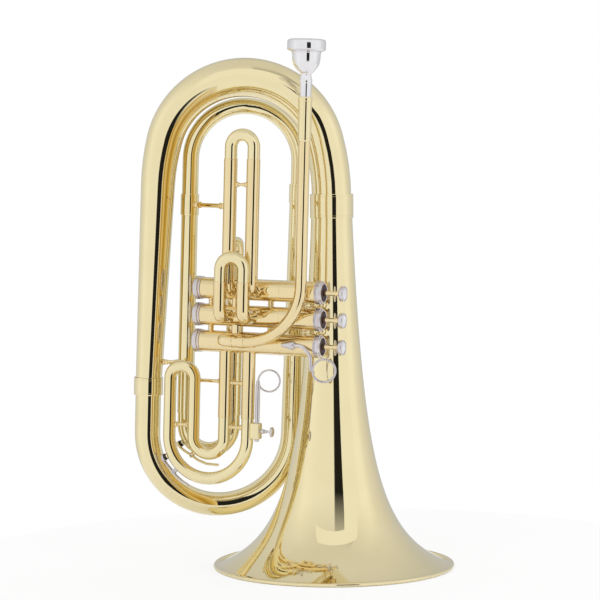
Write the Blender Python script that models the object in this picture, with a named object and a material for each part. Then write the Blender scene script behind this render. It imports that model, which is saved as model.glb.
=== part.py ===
"""Marching baritone horn, bell down: a three-valve brass instrument standing on its bell rim.

Units are metres, +Z is up. The bell hangs in its own upright frame, the wrap of tubes leans a
little towards it, and the valve cluster is turned inside the wrap so that its buttons clear the bell.
"""

import math

import bmesh
import bpy
from mathutils import Matrix, Vector

MM = 0.001
CLEAR = 0.3 * MM

# Bell: a horn whose radius falls off with a power of the height above the rim.
BELL_RIM_D = 254.0 * MM
BELL_WALL = 0.9 * MM
BELL_TAIL_D = 42.2 * MM
BELL_TAIL_Z = 379.0 * MM
BELL_FLARE_POWER = 0.733
RIM_BEAD_D = 3.6 * MM
RIM_FOOT_W = 1.4 * MM
BELL_FERRULE_Z = 367.0 * MM
BELL_FERRULE_L = 25.0 * MM
BELL_FERRULE_D = 45.4 * MM

# Main bow: the big crook from the left tube, over the top and down into the bell.
MAIN_BOW_R = 91.2 * MM
MAIN_BOW_Z = 421.7 * MM
MAIN_LEAN = math.radians(3.0)
MAIN_START_Z = 190.0 * MM
MAIN_D_START = 27.4 * MM
MAIN_D_SHOULDER = 36.6 * MM
MAIN_D_TOP = 39.7 * MM
MAIN_D_END = 41.2 * MM
MAIN_DEPTH = 16.0 * MM
TUBE_WALL = 0.7 * MM

# The wrap, in its own leaning frame: u to the right, v to the back, w up.
WRAP_LEAN = math.radians(1.8)
BOTTOM_BOW_W = 134.7 * MM
BOTTOM_D_LEFT = 26.4 * MM
BOTTOM_D_MID = 24.4 * MM
BOTTOM_D_RIGHT = 22.4 * MM
LEG_D_TOP = 18.4 * MM
LEG_TOP_W = 391.0 * MM
LEG_DEPTH = 33.0 * MM
BOW_FERRULE_L = 18.5 * MM
BOW_FERRULE_DROP = 8.8 * MM
BOW_FERRULE_D = 30.8 * MM
LEG_FERRULE_L = 20.0 * MM
LEG_FERRULE_D = 20.2 * MM
INNER_BOW_W = 423.4 * MM
INNER_D = 17.2 * MM
INNER_LEFT_U = -161.0 * MM
INNER_LEFT_V = 16.0 * MM
INNER_RIGHT_U = -48.8 * MM
INNER_FERRULE_W = 366.0 * MM
INNER_FERRULE_L = 22.0 * MM
INNER_FERRULE_D = 19.4 * MM

# Main tuning slide.
TUNING_SLEEVE_D = 17.4 * MM
TUNING_CROOK_D = 16.0 * MM
TUNING_LEG_D = 15.4 * MM
TUNING_BORE = 14.2 * MM
TUNING_RIGHT_U = -110.8 * MM
TUNING_RIGHT_V = 3.0 * MM
TUNING_SEAM_W = 157.0 * MM
TUNING_BOW_BOTTOM_W = 110.9 * MM
TUNING_LEG_L = 62.0 * MM
TUNING_STAY_W = 192.0 * MM

# Valve cluster frame: s along the casings towards the buttons, b to the back, h up.
CLUSTER_U = -84.8 * MM
CLUSTER_V = -30.9 * MM
CLUSTER_W = 263.4 * MM
CLUSTER_YAW = math.radians(21.0)
CASING_PITCH = 27.6 * MM
CASING_D = 21.8 * MM
CASING_BORE = 20.4 * MM
CASING_LOW_S = -63.0 * MM
CASING_TOP_S = 67.5 * MM
CAP_D = 24.0 * MM
CAP_LIP = 1.4 * MM
BOTTOM_CAP_END_S = -70.3 * MM
BOTTOM_CAP_SKIRT_S = -59.4 * MM
TOP_CAP_END_S = 71.5 * MM
TOP_CAP_SKIRT_S = 64.1 * MM
CAP_MOUTH_D = 17.8 * MM
CAP_RECESS = 2.2 * MM
FELT_T = 1.4 * MM
STEM_D = 4.9 * MM
BUTTON_D = 16.2 * MM
BUTTON_T = 5.0 * MM
STROKE = 17.0 * MM
BUTTON_S = TOP_CAP_END_S + STROKE + 0.8 * MM
PEARL_D = 12.6 * MM
PEARL_RECESS = 0.7 * MM
PISTON_D = 19.6 * MM
PISTON_LOW_S = -44.5 * MM
PISTON_TOP_S = 22.0 * MM
PISTON_NECK_D = 11.0 * MM
PISTON_NECK_S = 36.0 * MM
SPRING_D = 15.0 * MM
SPRING_WIRE = 1.1 * MM
SPRING_CURLS = 5
SPRING_POINTS = 8
POST_D = 6.6 * MM
POST_WAIST_D = 3.6 * MM
POST_S = (-50.0 * MM, 13.0 * MM, 50.0 * MM)

# Valve slides share one bore.
SLEEVE_D = 13.9 * MM
SLEEVE_BORE = 13.0 * MM
CROOK_D = 12.9 * MM
LEG_D = 12.4 * MM
BORE = 11.4 * MM
ELBOW_R = 9.0 * MM
KNUCKLE_D = 12.6 * MM
KNUCKLE_S = -24.0 * MM
SLIDE1_S = (-27.0 * MM, -1.8 * MM)
SLIDE1_FRONT = 20.0 * MM
SLIDE1_SEAM_H = 162.7 * MM
SLIDE1_TOP_H = 193.7 * MM
SLIDE1_LEG_L = 105.0 * MM
SLIDE1_TIE_H = 136.2 * MM
SLIDE2_S = (-29.8 * MM, -4.2 * MM)
SLIDE2_FRONT = 34.6 * MM
SLIDE2_SEAM_H = 36.7 * MM
SLIDE2_TOP_H = 68.2 * MM
SLIDE2_LEG_L = 20.0 * MM
SLIDE3_S = (-35.9 * MM, -10.0 * MM)
SLIDE3_SEAM_H = -106.8 * MM
SLIDE3_LEG_L = 58.0 * MM
SLIDE3_SMALL_S = (-94.7 * MM, -69.6 * MM)
SLIDE3_SMALL_B = (-8.6 * MM, -3.3 * MM)
SLIDE3_INNER_BOTTOM_H = -145.9 * MM
SLIDE3_OUTER_BOTTOM_H = -171.5 * MM
SLIDE3_TOP_H = -55.0 * MM
SLIDE3_TIE_H = -70.2 * MM
SLIDE3_MOVING_TIE_H = -116.5 * MM
TIE_D = 3.0 * MM
TIE_COLLAR_D = 5.6 * MM

# Link bow from the first casing back to the tuning slide.
LINK_D = 14.8 * MM
LINK_RISE = 38.8 * MM
LINK_SEAT = 14.0 * MM
LINK_S = -26.4 * MM

# Leadpipe, receiver and mouthpiece, in the plane in front of the casings.
LEAD_FRONT = 18.0 * MM
LEAD_S = 52.4 * MM
LEAD_H = -25.2 * MM
LEAD_BEND_R = 60.0 * MM
LEAD_PORT_S = -34.6 * MM
LEAD_D_TOP = 12.2 * MM
LEAD_D_LOW = 13.0 * MM
LEAD_TOP_H = 181.5 * MM
RECEIVER_D = 13.8 * MM
RECEIVER_L = 45.0 * MM
RECEIVER_BORE = 12.4 * MM
MOUTHPIECE_L = 58.2 * MM
MOUTHPIECE_RIM_D = 39.4 * MM
MOUTHPIECE_CUP_D = 25.6 * MM
MOUTHPIECE_SHANK_IN = 22.0 * MM

# Hand fittings.
RING_D = 24.2 * MM
RING_WIRE = 1.8 * MM
ROD_D = 5.2 * MM
ROD_S = 2.0 * MM
ROD_FRONT = 3.0 * MM
ROD_TOP_H = -65.5 * MM
ROD_END_H = -129.5 * MM
RING_H = -59.5 * MM
BLOCK_TOP_H = -110.6 * MM
BLOCK_L = 16.6 * MM
BLOCK_W = 8.4 * MM
SCREW_D = 3.0 * MM
SCREW_H = -118.6 * MM
SCREW_TIP_S = 20.7 * MM
PINKY_RING_D = 25.6 * MM
PINKY_WIRE = 2.6 * MM
HOOK_D = 4.2 * MM
HOOK_H = -26.6 * MM
HOOK_REACH = 20.4 * MM
HOOK_DROP = 24.6 * MM
HOLDER_D = 9.4 * MM
HOLDER_S = (31.0 * MM, 46.0 * MM)

# Water keys: a nipple, a cork under a cup, and a lever that rocks in a saddle.
NIPPLE_D = 5.0 * MM
NIPPLE_RISE = 1.2 * MM
KEY_ROOT = 1.2 * MM
KEY_RISE = 3.6 * MM
DRAIN_D = 2.4 * MM
CORK_D = 5.6 * MM
CORK_T = 3.2 * MM
LEVER_W = 3.4 * MM
LEVER_T = 1.3 * MM
PIVOT_D = 3.4 * MM
PIN_D = 1.5 * MM
SADDLE_T = 1.3 * MM

# Stays between the tubes.
STAY_D = 4.0 * MM
STAY_BALL_D = 7.0 * MM
LEFT_STAY_W = 210.0 * MM
SLIDE_STAY_W = 377.0 * MM
BRACE_END_U = -17.0 * MM

SMALL_SIDES = 12
LARGE_SIDES = 16
CASING_SIDES = 16
BELL_SIDES = 30
BEND_STEP = math.radians(30.0)

LACQUER = ((0.83, 0.62, 0.24), 0.12, 1.0)
SILVER = ((0.86, 0.86, 0.88), 0.10, 1.0)
STEEL = ((0.62, 0.63, 0.66), 0.25, 1.0)
FELT = ((0.10, 0.03, 0.04), 0.95, 0.0)
CORK = ((0.06, 0.05, 0.04), 0.85, 0.0)


def clear_scene():
    for old in list(bpy.data.objects):
        bpy.data.objects.remove(old, do_unlink=True)


def frame(name, parent, matrix):
    empty = bpy.data.objects.new(name, None)
    bpy.context.scene.collection.objects.link(empty)
    empty.parent = parent
    empty.matrix_local = matrix
    return empty


def add_object(name, bm, parent, origin):
    """Turn mesh data given in the parent's frame into an object whose origin is at the given point."""
    bmesh.ops.translate(bm, verts=bm.verts, vec=-Vector(origin))
    bmesh.ops.recalc_face_normals(bm, faces=bm.faces)
    mesh = bpy.data.meshes.new(name)
    bm.to_mesh(mesh)
    bm.free()
    obj = bpy.data.objects.new(name, mesh)
    bpy.context.scene.collection.objects.link(obj)
    obj.parent = parent
    obj.location = origin
    return obj


def piece(name, bm, parent, finish, origin=(0, 0, 0)):
    """One real piece of the instrument, smooth shaded, with its own material."""
    obj = add_object(name, bm, parent, origin)
    obj.data.shade_smooth()
    obj.data.set_sharp_from_angle(angle=math.radians(40))
    colour, roughness, metallic = finish
    material = bpy.data.materials.new(name)
    material.use_nodes = True
    shader = material.node_tree.nodes["Principled BSDF"]
    shader.inputs["Base Color"].default_value = (*colour, 1.0)
    shader.inputs["Roughness"].default_value = roughness
    shader.inputs["Metallic"].default_value = metallic
    obj.data.materials.append(material)
    return obj


def tool(name, bm, parent, origin=(0, 0, 0)):
    """A cutter or a fitting that a Boolean uses; it isn't a piece."""
    obj = add_object(name, bm, parent, origin)
    obj.hide_render = True
    obj.display_type = "WIRE"
    return obj


def boolean(obj, other, operation):
    modifier = obj.modifiers.new(f"{operation.lower()} {other.name}", "BOOLEAN")
    modifier.operation = operation
    modifier.solver = "EXACT"
    modifier.object = other


def polyline_length(route):
    return sum((b - a).length for a, b in zip(route, route[1:]))


def bent_route(corners, bends):
    """Straight runs through the corners, with each inner corner rounded by its bend radius."""
    corners = [Vector(c) for c in corners]
    if not isinstance(bends, (list, tuple)):
        bends = [bends] * (len(corners) - 2)
    route = [corners[0]]
    for before, corner, after, radius in zip(corners, corners[1:], corners[2:], bends):
        into = (corner - before).normalized()
        out = (after - corner).normalized()
        turn = into.angle(out)
        start = corner - into * radius * math.tan(turn / 2)
        centre = start + (out - into * into.dot(out)).normalized() * radius
        axis = into.cross(out).normalized()
        steps = max(2, round(turn / (BEND_STEP if radius < 30 * MM else BEND_STEP * 0.75)))
        for i in range(steps + 1):
            point = centre + Matrix.Rotation(turn * i / steps, 3, axis) @ (start - centre)
            if (point - route[-1]).length > 0.01 * MM:
                route.append(point)
    if (corners[-1] - route[-1]).length > 0.01 * MM:
        route.append(corners[-1])
    return route


def stations(route, profile):
    """Points, directions and diameters at the route's own points and at the profile's distances."""
    marks = [0.0]
    for a, b in zip(route, route[1:]):
        marks.append(marks[-1] + (b - a).length)
    knots = [(min(max(d, 0.0), marks[-1]), size) for d, size in profile]
    rows = [(d, 1, size) for d, size in knots]
    for mark in marks:
        if all(abs(mark - d) > 0.02 * MM for d, _ in knots):
            low = max((k for k in knots if k[0] < mark), key=lambda k: k[0])
            high = min((k for k in knots if k[0] > mark), key=lambda k: k[0])
            share = (mark - low[0]) / (high[0] - low[0])
            low_size = [k[1] for k in knots if k[0] == low[0]][-1]
            rows.append((mark, 0, low_size + (high[1] - low_size) * share))
    rows.sort(key=lambda row: row[0])
    result = []
    for distance, _, size in rows:
        i = max(0, min(len(route) - 2, sum(1 for m in marks[1:-1] if m <= distance + 0.02 * MM)))
        direction = (route[i + 1] - route[i]).normalized()
        point = route[i] + direction * (distance - marks[i])
        if i > 0 and abs(distance - marks[i]) <= 0.02 * MM:
            direction = (direction + (route[i] - route[i - 1]).normalized()).normalized()
        result.append((point, direction, size))
    return result


def skin(bm, route, profile, sides, reference):
    """Rings of vertices along a route, joined by faces. The frame turns as little as it can."""
    if not isinstance(profile, (list, tuple)):
        profile = [(0.0, profile), (polyline_length(route), profile)]
    normal = Vector(reference)
    rings = []
    for point, direction, size in stations(route, profile):
        normal = (normal - direction * normal.dot(direction)).normalized()
        side = direction.cross(normal)
        ring = []
        for k in range(sides):
            angle = math.tau * k / sides
            offset = normal * math.cos(angle) + side * math.sin(angle)
            ring.append(bm.verts.new(point + offset * size / 2))
        rings.append(ring)
    for low, high in zip(rings, rings[1:]):
        for k in range(sides):
            n = (k + 1) % sides
            bm.faces.new((low[k], low[n], high[n], high[k]))
    return rings


def join_rims(bm, outer, inner):
    """The end face of a tube: a flat ring between its outer and inner rims."""
    ratio = len(outer) // len(inner)
    for k in range(len(inner)):
        n = (k + 1) % len(inner)
        run = [outer[(ratio * k + j) % len(outer)] for j in range(ratio + 1)]
        if ratio == 1:
            bm.faces.new((run[0], run[1], inner[n], inner[k]))
        else:
            bm.faces.new((run[0], run[1], inner[k]))
            bm.faces.new((run[1], inner[n], inner[k]))
            bm.faces.new((run[1], run[2], inner[n]))


def tube(route, outer, bore=None, sides=SMALL_SIDES, bore_sides=None, reference=(0, 1, 0)):
    """A swept tube. With a bore it is open at both ends, without one it is solid."""
    bm = bmesh.new()
    shell = skin(bm, route, outer, sides, reference)
    if bore is None:
        bm.faces.new(shell[0])
        bm.faces.new(shell[-1])
        return bm
    inside = skin(bm, route, bore, bore_sides or sides // 2, reference)
    join_rims(bm, shell[0], inside[0])
    join_rims(bm, shell[-1], inside[-1])
    return bm


def turned(outline, sides, start=(0, 0, 0), axis=(0, 0, 1), reference=(0, 1, 0), closed=True):
    """A turned solid from an outline of (distance along the axis, radius), closed on itself or on the axis."""
    bm = bmesh.new()
    axis = Vector(axis).normalized()
    normal = Vector(reference)
    normal = (normal - axis * normal.dot(axis)).normalized()
    side = axis.cross(normal)
    rings = []
    for distance, radius in outline:
        centre = Vector(start) + axis * distance
        if radius < 0.001 * MM:
            rings.append([bm.verts.new(centre)])
            continue
        ring = []
        for k in range(sides):
            angle = math.tau * k / sides
            offset = normal * math.cos(angle) + side * math.sin(angle)
            ring.append(bm.verts.new(centre + offset * radius))
        rings.append(ring)
    pairs = list(zip(rings, rings[1:]))
    if closed:
        pairs.append((rings[-1], rings[0]))
    for low, high in pairs:
        for k in range(sides):
            n = (k + 1) % sides
            if len(low) == 1 and len(high) == 1:
                continue
            if len(low) == 1:
                bm.faces.new((low[0], high[n], high[k]))
            elif len(high) == 1:
                bm.faces.new((low[k], low[n], high[0]))
            else:
                bm.faces.new((low[k], low[n], high[n], high[k]))
    return bm


def solid_outline(*points):
    """An outline that starts and ends on the axis."""
    return [(points[0][0], 0.0), *points, (points[-1][0], 0.0)]


def rod(start, end, diameter, sides=SMALL_SIDES, reference=(0, 1, 0)):
    return tube([Vector(start), Vector(end)], diameter, sides=sides, reference=reference)


def merged(*parts):
    """Several closed bodies in one mesh, for use as a Boolean's second object."""
    bm = bmesh.new()
    for part in parts:
        bmesh.ops.recalc_face_normals(part, faces=part.faces)
        mesh = bpy.data.meshes.new("merged")
        part.to_mesh(mesh)
        part.free()
        bm.from_mesh(mesh)
        bpy.data.meshes.remove(mesh)
    return bm


def box(centre, size):
    bm = bmesh.new()
    bmesh.ops.create_cube(bm, size=1.0)
    bmesh.ops.scale(bm, vec=size, verts=bm.verts)
    bmesh.ops.translate(bm, vec=centre, verts=bm.verts)
    return bm


def ferrule_outline(length, diameter, inner_d):
    """A plain sleeve ring."""
    return [(0, inner_d / 2), (0, diameter / 2), (length, diameter / 2), (length, inner_d / 2)]


def stay(start, end, start_gap, end_gap, ball=STAY_BALL_D, rod_d=STAY_D, sides=8):
    """A turned stay with a ball foot and a collar at each end, between two points on tube axes."""
    start = Vector(start)
    end = Vector(end)
    axis = (end - start).normalized()
    length = (end - start).length - start_gap - end_gap
    foot = ball / 2
    half = [
        (0, foot * 0.75),
        (foot * 0.55, foot),
        (foot * 1.3, foot * 0.75),
        (foot * 1.45, rod_d / 2),
        (foot * 2.0, rod_d / 2),
        (foot * 2.05, rod_d * 0.72),
        (foot * 2.35, rod_d * 0.72),
        (foot * 2.4, rod_d * 0.42),
    ]
    if length < 2 * half[-1][0]:
        half = [(0, foot * 0.8), (length * 0.12, foot * 0.8), (length * 0.22, rod_d * 0.42)]
    outline = half + [(length - d, r) for d, r in reversed(half)]
    reference = (0, 1, 0) if abs(axis.y) < 0.9 else (0, 0, 1)
    return turned(solid_outline(*outline), sides, start + axis * start_gap, axis, reference, closed=False)


def spring_coil(start, axis, length, reference):
    """Points along a helix that runs out from its first curl to its last."""
    axis = Vector(axis)
    normal = Vector(reference)
    side = axis.cross(normal)
    radius = (SPRING_D - SPRING_WIRE) / 2
    count = SPRING_CURLS * SPRING_POINTS
    points = []
    for i in range(count + 1):
        angle = math.tau * i / SPRING_POINTS
        along = SPRING_WIRE / 2 + (length - SPRING_WIRE) * i / count
        offset = normal * math.cos(angle) + side * math.sin(angle)
        points.append(Vector(start) + axis * along + offset * radius)
    return points


def report_least_gap(name, points, wire):
    """Print how near one curl of a spring comes to the next."""
    least = min(
        (points[i] - points[j]).length
        for i in range(len(points))
        for j in range(i + SPRING_POINTS // 2 + 1, len(points))
    )
    print(f"{name}: least gap between curls {1000 * (least - wire):.2f} mm")


clear_scene()
assembly = frame("baritone", None, Matrix.Identity(4))
wrap = frame("wrap", assembly, Matrix.Rotation(WRAP_LEAN, 4, "Y"))
cluster_matrix = Matrix.Translation((CLUSTER_U, CLUSTER_V, CLUSTER_W)) @ Matrix.Rotation(-CLUSTER_YAW, 4, "Z")
cluster = frame("valve_cluster", wrap, cluster_matrix)
wrap_matrix = Matrix.Rotation(WRAP_LEAN, 4, "Y")


def wrap_point(point):
    """A point of the upright frame, as seen in the wrap's frame."""
    return wrap_matrix.inverted() @ Vector(point)


def cluster_to_wrap(point):
    return cluster_matrix @ Vector(point)


def casing_h(n):
    """The height of a casing's axis in the cluster's frame."""
    return CASING_PITCH * (1 - n)


# Bell

flare_ratio = (BELL_RIM_D / BELL_TAIL_D) ** (1 / BELL_FLARE_POWER)
flare_offset = BELL_TAIL_Z / (flare_ratio - 1)
flare_scale = BELL_RIM_D / 2 * flare_offset ** BELL_FLARE_POWER


def bell_radius(z):
    return flare_scale / (z + flare_offset) ** BELL_FLARE_POWER


def bell_heights(count, low, high):
    """Heights that crowd towards the rim, where the flare turns fastest."""
    return [low + (high - low) * (i / count) ** 2.1 for i in range(count + 1)]


def make_bell():
    bead = RIM_BEAD_D / 2
    rim_r = BELL_RIM_D / 2
    outer = [(z, bell_radius(z)) for z in bell_heights(10, RIM_BEAD_D, BELL_TAIL_Z)]
    inner = []
    for z, radius in outer:
        slope = BELL_FLARE_POWER * radius / (z + flare_offset)
        stretch = math.sqrt(1 + slope ** 2)
        inner.append((z - BELL_WALL * slope / stretch, radius - BELL_WALL / stretch))
    inner[-1] = (BELL_TAIL_Z, bell_radius(BELL_TAIL_Z) - BELL_WALL)
    rim = [
        (0, rim_r - bead - RIM_FOOT_W / 2),
        (0, rim_r - bead + RIM_FOOT_W / 2),
        (bead * 0.45, rim_r - bead * 0.12),
        (bead * 1.2, rim_r),
        (bead * 1.8, rim_r - bead * 0.5),
    ]
    outline = list(reversed(inner)) + rim + outer
    return piece("bell", turned(outline, BELL_SIDES), assembly, LACQUER)


make_bell()
bell_ferrule_bore = 2 * (bell_radius(BELL_FERRULE_Z) + CLEAR)
bell_ferrule = turned(ferrule_outline(BELL_FERRULE_L, BELL_FERRULE_D, bell_ferrule_bore), BELL_SIDES, (0, 0, BELL_FERRULE_Z))
piece("bell_ferrule", bell_ferrule, assembly, LACQUER)


# Main bow

def main_bow_route():
    centre = Vector((-MAIN_BOW_R, 0, MAIN_BOW_Z))
    lift = Vector((math.sin(MAIN_LEAN), 0, math.cos(MAIN_LEAN)))
    shoulder = centre + MAIN_BOW_R * Vector((-math.cos(MAIN_LEAN), 0, math.sin(MAIN_LEAN)))
    start = shoulder - lift * (shoulder.z - MAIN_START_Z) / lift.z
    end = Vector((0, 0, BELL_TAIL_Z + CLEAR))
    turn = math.pi - MAIN_LEAN
    steps = 10
    route = [start]
    for i in range(steps + 1):
        angle = math.pi - MAIN_LEAN - turn * i / steps
        route.append(centre + MAIN_BOW_R * Vector((math.cos(angle), 0, math.sin(angle))))
    route.append(end)
    run = polyline_length(route)
    travelled = 0.0
    result = []
    for i, point in enumerate(route):
        if i:
            travelled += (point - route[i - 1]).length
        share = min(1.0, travelled / (run - (MAIN_BOW_Z - BELL_TAIL_Z)))
        ease = share * share * (3 - 2 * share)
        result.append(Vector((point.x, MAIN_DEPTH * (1 - ease), point.z)))
    return result


main_route = main_bow_route()
main_run = polyline_length(main_route)
main_straight = (main_route[1] - main_route[0]).length
main_half = main_straight + MAIN_BOW_R * math.pi / 2
main_outer = [(0, MAIN_D_START), (main_straight, MAIN_D_SHOULDER), (main_half, MAIN_D_TOP), (main_run, MAIN_D_END)]
main_bore = [(d, size - 2 * TUBE_WALL) for d, size in main_outer]
main_bow = tube(main_route, main_outer, main_bore, LARGE_SIDES, LARGE_SIDES // 2)
piece("main_bow", main_bow, assembly, LACQUER)


# Bottom bow and right leg

left_leg_top = wrap_point(main_route[0])


def bottom_bow_route():
    left_u = left_leg_top.x
    right_u = INNER_RIGHT_U
    radius = (right_u - left_u) / 2
    gap = Vector((0, 0, 2 * CLEAR))
    corners = [
        left_leg_top - gap,
        Vector((left_u, 0, BOTTOM_BOW_W - radius)),
        Vector((right_u, 0, BOTTOM_BOW_W - radius)),
        Vector((right_u, 0, LEG_TOP_W)),
    ]
    route = bent_route(corners, radius)
    result = []
    for point in route:
        share = min(1.0, max(0.0, (point.x - left_u) / (right_u - left_u)))
        ease = share * share * (3 - 2 * share)
        depth = MAIN_DEPTH + (LEG_DEPTH - MAIN_DEPTH) * ease
        result.append(Vector((point.x, depth, point.z)))
    return result, radius


bottom_route, bottom_radius = bottom_bow_route()
bottom_run = polyline_length(bottom_route)
left_run = left_leg_top.z - BOTTOM_BOW_W
bottom_outer = [
    (0, BOTTOM_D_LEFT),
    (left_run, BOTTOM_D_LEFT),
    (left_run + bottom_radius * math.pi / 2, BOTTOM_D_MID),
    (left_run + bottom_radius * math.pi, BOTTOM_D_RIGHT),
    (bottom_run, LEG_D_TOP),
]
bottom_bore = [(d, size - 2 * TUBE_WALL) for d, size in bottom_outer]
piece("bottom_bow", tube(bottom_route, bottom_outer, bottom_bore, 16, 8), wrap, LACQUER)

bow_ferrule_start = Vector((left_leg_top.x, MAIN_DEPTH, left_leg_top.z - BOW_FERRULE_DROP))
bow_ferrule_inner = max(BOTTOM_D_LEFT, MAIN_D_START) + BOW_FERRULE_L * 0.06 + 2 * CLEAR
bow_ferrule = turned(ferrule_outline(BOW_FERRULE_L, BOW_FERRULE_D, bow_ferrule_inner), 16, bow_ferrule_start)
piece("bow_ferrule", bow_ferrule, wrap, LACQUER)

leg_ferrule_start = Vector((INNER_RIGHT_U, LEG_DEPTH, LEG_TOP_W - LEG_FERRULE_L / 2))
leg_ferrule = turned(ferrule_outline(LEG_FERRULE_L, LEG_FERRULE_D, LEG_D_TOP + 2 * CLEAR), 16, leg_ferrule_start)
piece("leg_ferrule", leg_ferrule, wrap, LACQUER)


# Inner bow, over the top from the left leg to the right leg

def inner_bow_route():
    radius = (INNER_RIGHT_U - INNER_LEFT_U) / 2
    corners = [
        Vector((INNER_LEFT_U, 0, INNER_FERRULE_W + INNER_FERRULE_L / 2)),
        Vector((INNER_LEFT_U, 0, INNER_BOW_W + radius)),
        Vector((INNER_RIGHT_U, 0, INNER_BOW_W + radius)),
        Vector((INNER_RIGHT_U, 0, LEG_TOP_W + CLEAR)),
    ]
    result = []
    for point in bent_route(corners, radius):
        share = min(1.0, max(0.0, (point.x - INNER_LEFT_U) / (INNER_RIGHT_U - INNER_LEFT_U)))
        ease = share * share * (3 - 2 * share)
        result.append(Vector((point.x, INNER_LEFT_V + (LEG_DEPTH - INNER_LEFT_V) * ease, point.z)))
    return result


piece("inner_bow", tube(inner_bow_route(), INNER_D, INNER_D - 2 * TUBE_WALL), wrap, LACQUER)
inner_ferrule_start = Vector((INNER_LEFT_U, INNER_LEFT_V, INNER_FERRULE_W))
inner_ferrule = turned(
    ferrule_outline(INNER_FERRULE_L, INNER_FERRULE_D, max(INNER_D, TUNING_SLEEVE_D) + 2 * CLEAR), 16, inner_ferrule_start
)
piece("inner_ferrule", inner_ferrule, wrap, LACQUER)


# Main tuning slide

tuning_left = Vector((INNER_LEFT_U, INNER_LEFT_V, 0))
tuning_right = Vector((TUNING_RIGHT_U, TUNING_RIGHT_V, 0))
tuning_across = (tuning_right - tuning_left).normalized()
tuning_span = (tuning_right - tuning_left).length
tuning_normal = tuning_across.cross(Vector((0, 0, 1))).normalized()
up = Vector((0, 0, 1))


def make_tuning_slide():
    sleeve_bore = TUNING_LEG_D + 2 * CLEAR
    left_top = INNER_FERRULE_W + INNER_FERRULE_L / 2 - CLEAR
    left = [tuning_left + up * TUNING_SEAM_W, tuning_left + up * left_top]
    piece("tuning_sleeve_left", tube(left, TUNING_SLEEVE_D, sleeve_bore, 12, 12, tuning_normal), wrap, LACQUER)
    right = [tuning_right + up * TUNING_SEAM_W, tuning_right + up * link_low_w()]
    right_sleeve = piece(
        "tuning_sleeve_right", tube(right, TUNING_SLEEVE_D, sleeve_bore, 12, 12, tuning_normal), wrap, LACQUER
    )
    radius = tuning_span / 2
    bottom = up * (TUNING_BOW_BOTTOM_W + TUNING_CROOK_D / 2)
    leg_top = up * (TUNING_SEAM_W + TUNING_LEG_L)
    route = bent_route(
        [tuning_left + leg_top, tuning_left + bottom, tuning_right + bottom, tuning_right + leg_top], radius
    )
    run = polyline_length(route)
    step = TUNING_LEG_L + CLEAR
    outer = [(0, TUNING_LEG_D), (step, TUNING_LEG_D), (step, TUNING_CROOK_D)]
    outer += [(run - d, size) for d, size in reversed(outer)]
    crook = piece("tuning_crook", tube(route, outer, TUNING_BORE, reference=tuning_normal), wrap, LACQUER)
    level = up * TUNING_STAY_W
    gap = TUNING_SLEEVE_D / 2 + CLEAR
    seat = sleeve_bore / 2 + 0.2 * MM
    bar = stay(tuning_left + level, tuning_right + level, gap, seat, 5.6 * MM, 3.4 * MM)
    boolean(right_sleeve, tool("tuning_stay", bar, wrap), "UNION")
    return crook


def link_top_w():
    """The top of the link bow: a set rise over the first casing's clearance."""
    return CLUSTER_W + casing_h(0) + CASING_D / 2 + CLEAR + LINK_RISE


def link_low_w():
    """Height at which the link bow's back leg meets the right sleeve."""
    return link_top_w() - LINK_D / 2 - link_radius() - LINK_SEAT


def link_radius():
    front = cluster_to_wrap((LINK_S, 0, 0))
    return (tuning_right - Vector((front.x, front.y, 0))).length / 2


tuning_crook = make_tuning_slide()


# Casings, caps, pistons

def casing_cutter(n, margin, name):
    bm = rod(
        (CASING_LOW_S - 5 * MM, 0, casing_h(n)),
        (CASING_TOP_S + 5 * MM, 0, casing_h(n)),
        CASING_D + 2 * margin,
        CASING_SIDES,
        (0, 0, 1),
    )
    return tool(name, bm, cluster)


casing_clearance = [casing_cutter(n, CLEAR, f"clearance_casing_{n + 1}") for n in range(3)]


def port_cutters(n):
    """The round ports of one casing: a short plug through the wall for each tube that enters it."""
    h = casing_h(n)
    inside = CASING_BORE / 2 - 3 * MM
    outside = CASING_D / 2 + 2 * MM
    below = [SLIDE3_S[0], SLIDE3_S[1]] if n == 2 else [KNUCKLE_S]
    above = [LINK_S] if n == 0 else [KNUCKLE_S]
    front = {0: SLIDE1_S, 1: SLIDE2_S, 2: (LEAD_PORT_S,)}[n]
    plugs = [rod((s, 0, h - outside), (s, 0, h - inside), BORE, 8) for s in below]
    plugs += [rod((s, 0, h + inside), (s, 0, h + outside), BORE, 8) for s in above]
    plugs += [rod((s, -outside, h), (s, -inside, h), BORE, 8, (0, 0, 1)) for s in front]
    return plugs


POST_ROOT = 1.5 * MM


def post_outline(length):
    """A waisted post, whose flanges lie against both casings."""
    wide = POST_D / 2
    waist = POST_WAIST_D / 2
    flange = 0.4 * MM
    step = 0.2 * MM
    near = POST_ROOT + flange
    return solid_outline(
        (0, wide), (near, wide), (near + step, waist), (length - flange - step, waist), (length - flange, wide), (length, wide)
    )


def casing_posts():
    """The turned posts that tie the middle casing to its neighbours."""
    root = CASING_D / 2 - POST_ROOT
    reach = CASING_PITCH - CASING_D / 2 - CLEAR
    posts = []
    for s in POST_S:
        for way in (1, -1):
            start = (s, 0, casing_h(1) + way * root)
            posts.append(turned(post_outline(reach - root), 6, start, (0, 0, way), (0, 1, 0), closed=False))
    return merged(*posts)


def hook_front():
    """How far in front of the casing's axis the finger hook's stem runs."""
    return CASING_D / 2 + HOLDER_D / 2 - 0.9 * MM


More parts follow.
